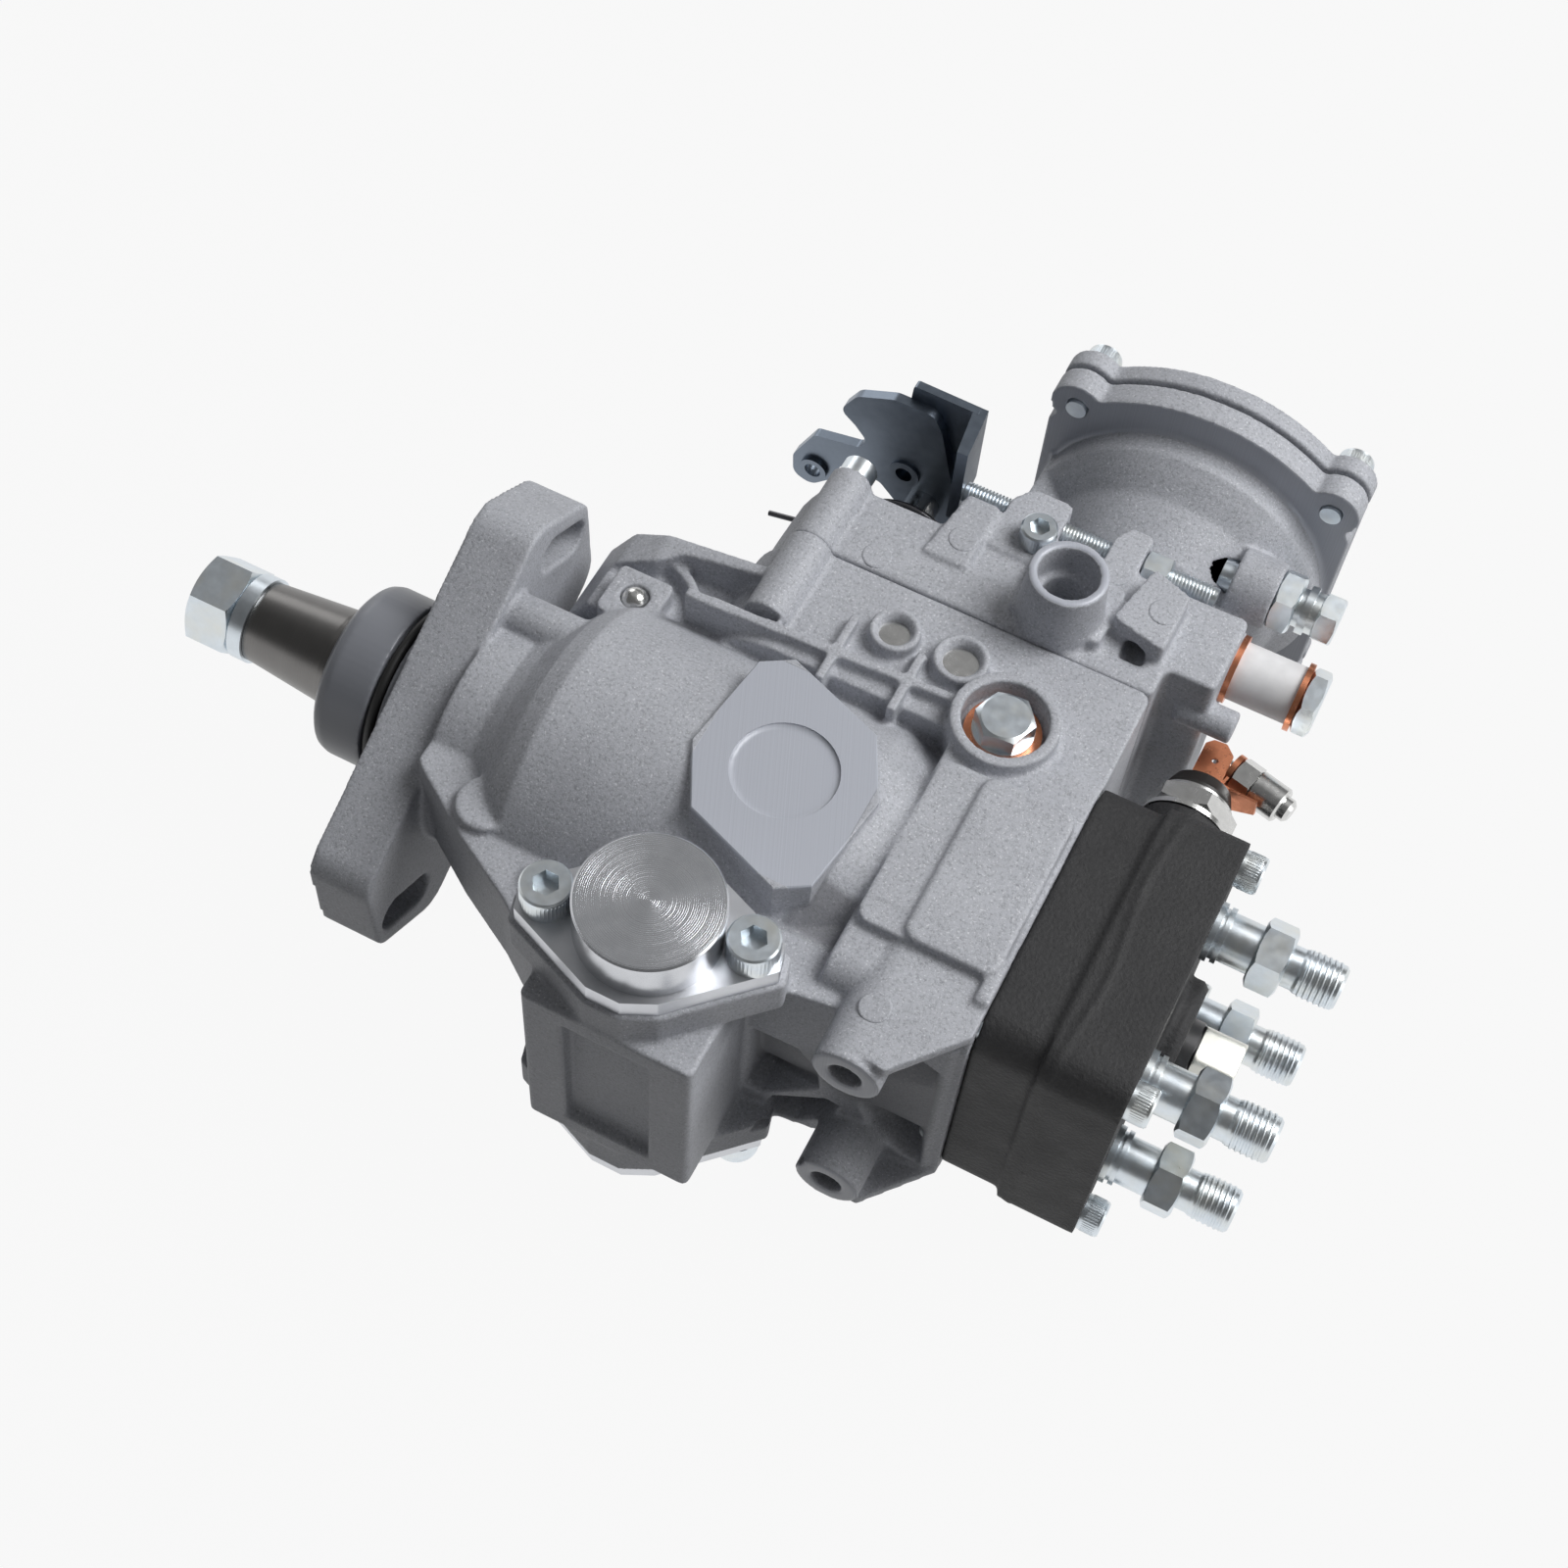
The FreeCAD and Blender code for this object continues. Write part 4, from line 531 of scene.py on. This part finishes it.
def carvePockets(mesh):
    spots = vertexData(mesh, "co")
    x, y, z = spots.T / mm
    forward = vertexData(mesh, "normal")[:, 1] < facing["slope"]
    depth = numpy.max([insideBy(outline, x, z) for outline in pockets["outlines"]], axis=0)
    floor = -numpy.sqrt(numpy.maximum(0.0, pockets["radius"] ** 2 - z ** 2))
    shapes = [(pockets, depth, floor, x > facing["split"]),
              (panel, insideBy(panel["outline"], x, z), panel["floor"], x < facing["split"])]
    for settings, depth, floor, near in shapes:
        share = numpy.clip(depth / settings["edge"], 0.0, 1.0)
        carved = (depth > 0) & (y < settings["front"]) & forward & near
        spots[carved, 1] = (y + numpy.maximum(0.0, (floor - y) * share))[carved] * mm
    mesh.vertices.foreach_set("co", spots.ravel())
    mesh.update()


smoothing = 0.5                                         # how far one pass pulls a vertex to its neighbours


def castPiece(node, settings):
    piece = bpy.data.objects.new("rough", nodes[node].data.copy())
    bpy.context.scene.collection.objects.link(piece)
    skin = piece.modifiers.new("skin", "REMESH")
    skin.mode = "VOXEL"
    skin.voxel_size = settings["voxel"] * mm
    mesh = evaluated(piece)
    piece.modifiers.clear()
    if node == "pump_housing":
        carvePockets(mesh)
    piece.data = mesh
    soft = piece.vertex_groups.new(name="soft")
    soft.add([v.index for v in mesh.vertices if not isCut(*(v.co / mm))], 1.0, "REPLACE")
    smooth = piece.modifiers.new("smooth", "SMOOTH")
    smooth.factor = smoothing
    smooth.iterations = settings["passes"]
    smooth.vertex_group = "soft"
    mesh = evaluated(piece)
    bpy.data.objects.remove(piece)
    if node == "hydraulic_head":
        headSeam(mesh)
    mesh.shade_smooth()
    mesh.name = settings["piece"]
    print("casting", node, len(mesh.polygons), "faces")
    return newPiece(settings["piece"], mesh, node, nodes[node].data.materials[0], (node,))


castPieces = {node: castPiece(node, settings) for node, settings in castings.items()}


# Threads: crests that stand on the plain shanks

def fourCorners(x, half):
    return [((x, half * a, half * b), (1, 0, 0)) for a in (1, -1) for b in (1, -1)]


threads = {
    "outletThreads": {"node": "delivery_holders", "spots": fourCorners(241.2, 23.1),
                      "radius": 6.32, "depth": 0.75, "pitch": 1.5, "length": 9.9},
    "stopScrewThread": {"node": "stop_screw", "spots": [((107.2, 111.2, 33.5), (1, 0, 0))],
                        "radius": 3.2, "depth": 0.5, "pitch": 1.0, "length": 73.2},
    "shaftThread": {"node": "drive_shaft", "spots": [((-71.6, 0, 0), (1, 0, 0))],
                    "radius": 6.9, "depth": 0.9, "pitch": 1.5, "length": 3.0},
    "fullLoadThread": {"node": "full_load_screw", "spots": [((200.9, 127.3, 24.0), (1, 0, 0))],
                       "radius": 5.1, "depth": 0.5, "pitch": 1.0, "length": 3.0},
}
threadForm = {"crest": 1.5, "lead": 0.8, "rows": 8, "sides": 40}       # lead and rows are in pitches


def threadAt(radius, depth, pitch, length):
    lead = pitch * threadForm["lead"]

    def radiusAt(s, turn):
        phase = (s / pitch - turn / (2 * math.pi)) % 1.0
        ridge = min(1.0, (1 - abs(2 * phase - 1)) * threadForm["crest"])
        edge = min(1.0, s / lead, (length - s) / lead)
        return radius - depth + depth * ridge * edge
    return radiusAt


def makeThreads():
    for name, settings in threads.items():
        length, pitch = settings["length"], settings["pitch"]
        rows = int(length / pitch * threadForm["rows"]) + 1
        radiusAt = threadAt(settings["radius"], settings["depth"], pitch, length)
        grid = roundGrid(radiusAt, length, rows, threadForm["sides"])
        mesh = gathered(name, [(grid, aimed(base, way)) for base, way in settings["spots"]])
        newPiece(name, mesh, settings["node"], paints[slotOf[settings["node"]]])
    print("threads made:", len(threads))


# Cap screw heads: a straight knurl round each

knurl = {"depth": 0.24, "ridges": 44, "edge": 0.7, "lead": 0.5, "end": 0.6, "sink": 0.12, "wall": 0.6,
         "short": 0.7, "rows": 9, "points": 4}
boostCorners = [((160.5 + 38.0 * a, 165.4, 38.0 * b), (0, 1, 0)) for a in (1, -1) for b in (1, -1)]
timingEnds = [((x, y, 52.0 * side), (0, 0, side))
              for side in (1, -1) for x, y in ((74.8, -62.2), (124.2, -51.8))]
knurled = {
    "headScrewKnurls": {"node": "head_screws", "radius": 5.0, "height": 6.0,
                        "spots": fourCorners(217.0, 35.6)},
    "boostScrewKnurls": {"node": "boost_cover_screws", "radius": 5.0, "height": 6.0, "spots": boostCorners},
    "timingScrewKnurls": {"node": "timing_cover_screws", "radius": 6.5, "height": 8.0, "spots": timingEnds},
    "bushScrewKnurl": {"node": "bush_screw", "radius": 5.0, "height": 6.0,
                       "spots": [((131.5, 101.5, 39.0), (0, 0, 1))]},
}


def knurlAt(radius, height):
    def radiusAt(s, turn):
        wave = abs(((turn / (2 * math.pi) * knurl["ridges"]) % 1.0) * 2 - 1)
        edge = min(1.0, (s - knurl["lead"]) / knurl["edge"], (height - knurl["end"] - s) / knurl["edge"])
        return radius - knurl["sink"] + knurl["depth"] * wave * max(0.0, edge)
    return radiusAt


def makeKnurls():
    for name, settings in knurled.items():
        radius, height = settings["radius"], settings["height"]
        grid = roundGrid(knurlAt(radius, height), height - knurl["short"], knurl["rows"],
                         knurl["ridges"] * knurl["points"], radius - knurl["wall"])
        mesh = gathered(name, [(grid, aimed(base, way)) for base, way in settings["spots"]])
        newPiece(name, mesh, settings["node"], paints[slotOf[settings["node"]]])
    print("knurls made:", len(knurled))


# Small marks that the moulds left, put where the photograph shows them

marks = {"pixels": {"bracket": (893, 1028), "coverSeat": (895, 567), "coverRib": (983, 550),
                    "coverLug": (1139, 585), "lugEnd": (1188, 625)},
         "radius": 4.1, "height": 0.28, "sink": 0.5, "edge": 0.5, "rows": 7, "sides": 48}


def sightLine(px, py):                                  # from the camera through a pixel of the photograph
    half = view["pixels"] / 2
    reach = view["sensor"] / view["lens"] / view["pixels"]
    right, up, back = (Vector(view[name]) for name in ("right", "up", "back"))
    way = right * (px - half) * reach + up * (half - py) * reach - back
    return Vector(view["position"]), way.normalized()


def markRadius(s, turn):
    return marks["radius"] - marks["edge"] * max(0.0, (s - marks["sink"]) / marks["height"]) ** 2


def makeMarks():
    graph = bpy.context.evaluated_depsgraph_get()
    trees = {node: BVHTree.FromObject(piece, graph) for node, piece in castPieces.items()}
    grid = roundGrid(markRadius, marks["sink"] + marks["height"], marks["rows"], marks["sides"])
    parts = {}
    for px, py in marks["pixels"].values():
        start, way = sightLine(px, py)
        hits = [(tree.ray_cast(start, way), node) for node, tree in trees.items()]
        hit, node = min((h for h in hits if h[0][0] is not None), key=lambda h: h[0][3])
        spot, normal = hit[0], hit[1]
        parts.setdefault(node, []).append((grid, aimed(spot / mm - normal * marks["sink"], normal)))
    for node, shapes in parts.items():
        label = "mouldMarks" + node.split("_")[0].capitalize()
        newPiece(label, gathered(label, shapes), node, paints[slotOf[node]])
    print("mould marks:", sum(len(shapes) for shapes in parts.values()))


# Milled octagonal pad on the housing: its crisp rim over the rounded casting

pad = {"corners": [(-20.5, 26.0), (-12.5, 31.0), (15.5, 20.5), (24.5, 3.0)], "centre": (107.0, -1.0),
       "low": 40.0, "top": 48.02, "recess": 14.0, "recessFloor": 47.0, "draft": 0.1, "chamfer": 0.35,
       "sides": 64}


def rayReach(way, a, b):                                # where a ray from the centre meets one side
    side = b - a
    cross = way.x * side.y - way.y * side.x
    if abs(cross) < 1e-9:
        return None
    reach = (a.x * side.y - a.y * side.x) / cross
    share = (a.x * way.y - a.y * way.x) / cross
    return reach if reach > 0 and -1e-6 <= share <= 1 + 1e-6 else None


def makePad():
    half = pad["corners"]
    octagon = [Vector(p) for p in half + [(-a, -b) for a, b in half]]
    outline = []                                        # where rays from the centre meet the octagon
    for j in range(pad["sides"]):
        turn = 2 * math.pi * j / pad["sides"]
        way = Vector((math.cos(turn), math.sin(turn)))
        reaches = (rayReach(way, octagon[i - 1], octagon[i]) for i in range(len(octagon)))
        outline.append(way * min(reach for reach in reaches if reach is not None))
    rim = sorted(outline + octagon, key=lambda p: math.atan2(p.y, p.x))
    chamfer, recess = pad["chamfer"], pad["recess"]
    rings = [(rim, pad["low"]), (rim, pad["top"] - chamfer),
             ([p * (1 - chamfer / p.length) for p in rim], pad["top"]),
             ([p.normalized() * recess for p in rim], pad["top"]),
             ([p.normalized() * (recess - pad["draft"]) for p in rim], pad["recessFloor"])]
    cx, cy = pad["centre"]
    count = len(rim)
    points = [((p.x + cx) * mm, (p.y + cy) * mm, level * mm) for ring, level in rings for p in ring]
    faces = [(r * count + i, r * count + k, (r + 1) * count + k, (r + 1) * count + i)
             for r in range(len(rings) - 1) for i in range(count) for k in ((i + 1) % count,)]
    faces += [tuple(reversed(range(count))), tuple(range((len(rings) - 1) * count, len(rings) * count))]
    mesh = bpy.data.meshes.new("padFace")
    mesh.from_pydata(points, [], faces)
    newPiece("padFace", mesh, "pump_housing", paints["housing_casting"])
    print("pad made:", count, "corners")


# Timing cover cups: fine lathe grooves on their end faces, which make the light stand in wedges

cup = {"centre": (99.5, -57.0), "radius": 17.7, "pitch": 0.5, "depth": 0.03, "steps": 4, "sides": 144,
       "lift": 0.01, "sink": 0.25, "lip": 0.05}


def cupFace(side, level):
    count = int(cup["radius"] / cup["pitch"] * cup["steps"])
    rings = [(i * cup["pitch"] / cup["steps"], cup["depth"] * (1 + math.sin(2 * math.pi * i / cup["steps"])))
             for i in range(1, count + 1)]
    rings.append((rings[-1][0] + cup["lip"], -cup["sink"]))
    cx, cy = cup["centre"]
    base = level + cup["lift"]
    sides = cup["sides"]
    points = [(cx * mm, cy * mm, base * side * mm)]
    for radius, rise in rings:
        for j in range(sides):
            turn = 2 * math.pi * j / sides
            x, y = cx + radius * math.cos(turn), cy + radius * math.sin(turn)
            points.append((x * mm, y * mm, (base + rise) * side * mm))
    points.append((cx * mm, cy * mm, (level - cup["sink"]) * side * mm))
    faces = [(0, 1 + j, 1 + (j + 1) % sides) for j in range(sides)]
    for r in range(len(rings) - 1):
        a = 1 + r * sides
        b = a + sides
        faces += [(a + j, b + j, b + (j + 1) % sides, a + (j + 1) % sides) for j in range(sides)]
    last = 1 + (len(rings) - 1) * sides
    faces += [(last + j, len(points) - 1, last + (j + 1) % sides) for j in range(sides)]
    return points, [face if side > 0 else tuple(reversed(face)) for face in faces]


def makeCupFaces():
    for name, node, side in (("cupFaceNear", "timing_cover_near", 1), ("cupFaceFar", "timing_cover_far", -1)):
        low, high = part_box(node)
        level = max(high.z * side, low.z * side) / mm
        mesh = bpy.data.meshes.new(name)
        points, faces = cupFace(side, level)
        mesh.from_pydata(points, [], faces)
        mesh.shade_smooth()
        newPiece(name, mesh, node, paints["spun_aluminium"])
    print("cup faces made")


# Centre plug of the head: the hexagon that a spanner turns

plug = {"start": 225.8, "length": 11.6, "flats": 8.9, "chamfer": 0.9, "corner": 1.13, "slope": 0.6,
        "rows": 25, "sides": 96}


def plugRadius(s, turn):
    hexagon = plug["flats"] / math.cos((turn % (math.pi / 3)) - math.pi / 6)
    ends = min(s, plug["length"] - s, plug["chamfer"])
    return min(hexagon, plug["flats"] * plug["corner"] - plug["slope"] * (plug["chamfer"] - ends))


def makePlugHex():
    grid = roundGrid(plugRadius, plug["length"], plug["rows"], plug["sides"])
    mesh = gathered("plugHex", [(grid, aimed((plug["start"], 0, 0), (1, 0, 0)))])
    newPiece("plugHex", mesh, "head_plug", paints["dark_steel"])


makePlugHex()
makeThreads()
makeKnurls()
makeMarks()
makePad()
makeCupFaces()


# Floor and light

lamps = {
    "key": {"position": (0.75, 0.45, 1.05), "size": 0.8, "power": 14.2},
    "side": {"position": (1.25, 0.1, 0.35), "size": 0.6, "power": 2.0},
    "back": {"position": (-0.75, 0.85, 0.55), "size": 0.6, "power": 1.7},
    "top": {"position": (-0.2, 0.65, 1.15), "size": 1.6, "power": 1.0},
}
studio = {"world": 0.135, "floor": (0.12, 0.12, 0.12), "gap": 0.0005, "half": 4.0, "wall": 0.9, "white": 0.93,
          "aim": (0.08, 0.03, 0.0)}


def makeLamp(name, settings):
    data = bpy.data.lights.new(name, "AREA")
    data.shape = "DISK"
    data.size = settings["size"]
    data.energy = settings["power"]
    lamp = bpy.data.objects.new(name, data)
    bpy.context.scene.collection.objects.link(lamp)
    lamp.location = settings["position"]
    aim = Vector(studio["aim"]) - Vector(settings["position"])
    lamp.rotation_mode = "QUATERNION"
    lamp.rotation_quaternion = aim.to_track_quat("-Z", "Y")


def makeFloor():                                        # a wide tray: the floor and the backdrop round it
    low = cadLow.z - studio["gap"]
    half = studio["half"]
    corners = [(-half, -half), (half, -half), (half, half), (-half, half)]
    points = [(x, y, z) for z in (low, low + studio["wall"]) for x, y in corners]
    faces = [(0, 1, 2, 3)] + [(i, i + 4, (i + 1) % 4 + 4, (i + 1) % 4) for i in range(4)]
    mesh = bpy.data.meshes.new("floor")
    mesh.from_pydata(points, [], faces)
    floor = bpy.data.objects.new("floor", mesh)
    bpy.context.scene.collection.objects.link(floor)
    paint = Paint("floorPaint")
    rays = paint.node("ShaderNodeLightPath")
    seen = rays.output("Is Camera Ray") + rays.output("Is Glossy Ray") + rays.output("Is Transmission Ray")
    plain = paint.node("ShaderNodeBsdfDiffuse", None, {"Color": studio["floor"]})
    white = paint.node("ShaderNodeEmission", None, {"Color": (1, 1, 1), "Strength": 1.0})
    mixed = paint.node("ShaderNodeMixShader", None, {0: seen.clamp() * studio["white"], 1: plain, 2: white})
    paint.node("ShaderNodeOutputMaterial", None, {"Surface": mixed})
    mesh.materials.append(paint.material)


def makeWorld():
    world = bpy.data.worlds.new("studio")
    bpy.context.scene.world = world
    world.use_nodes = True
    background = world.node_tree.nodes["Background"]
    background.inputs["Color"].default_value = (1, 1, 1, 1)
    background.inputs["Strength"].default_value = studio["world"]


for name, settings in lamps.items():
    makeLamp(name, settings)
makeFloor()
makeWorld()
bpy.context.scene.view_settings.view_transform = "Standard"
print("studio made:", len(lamps), "lamps")
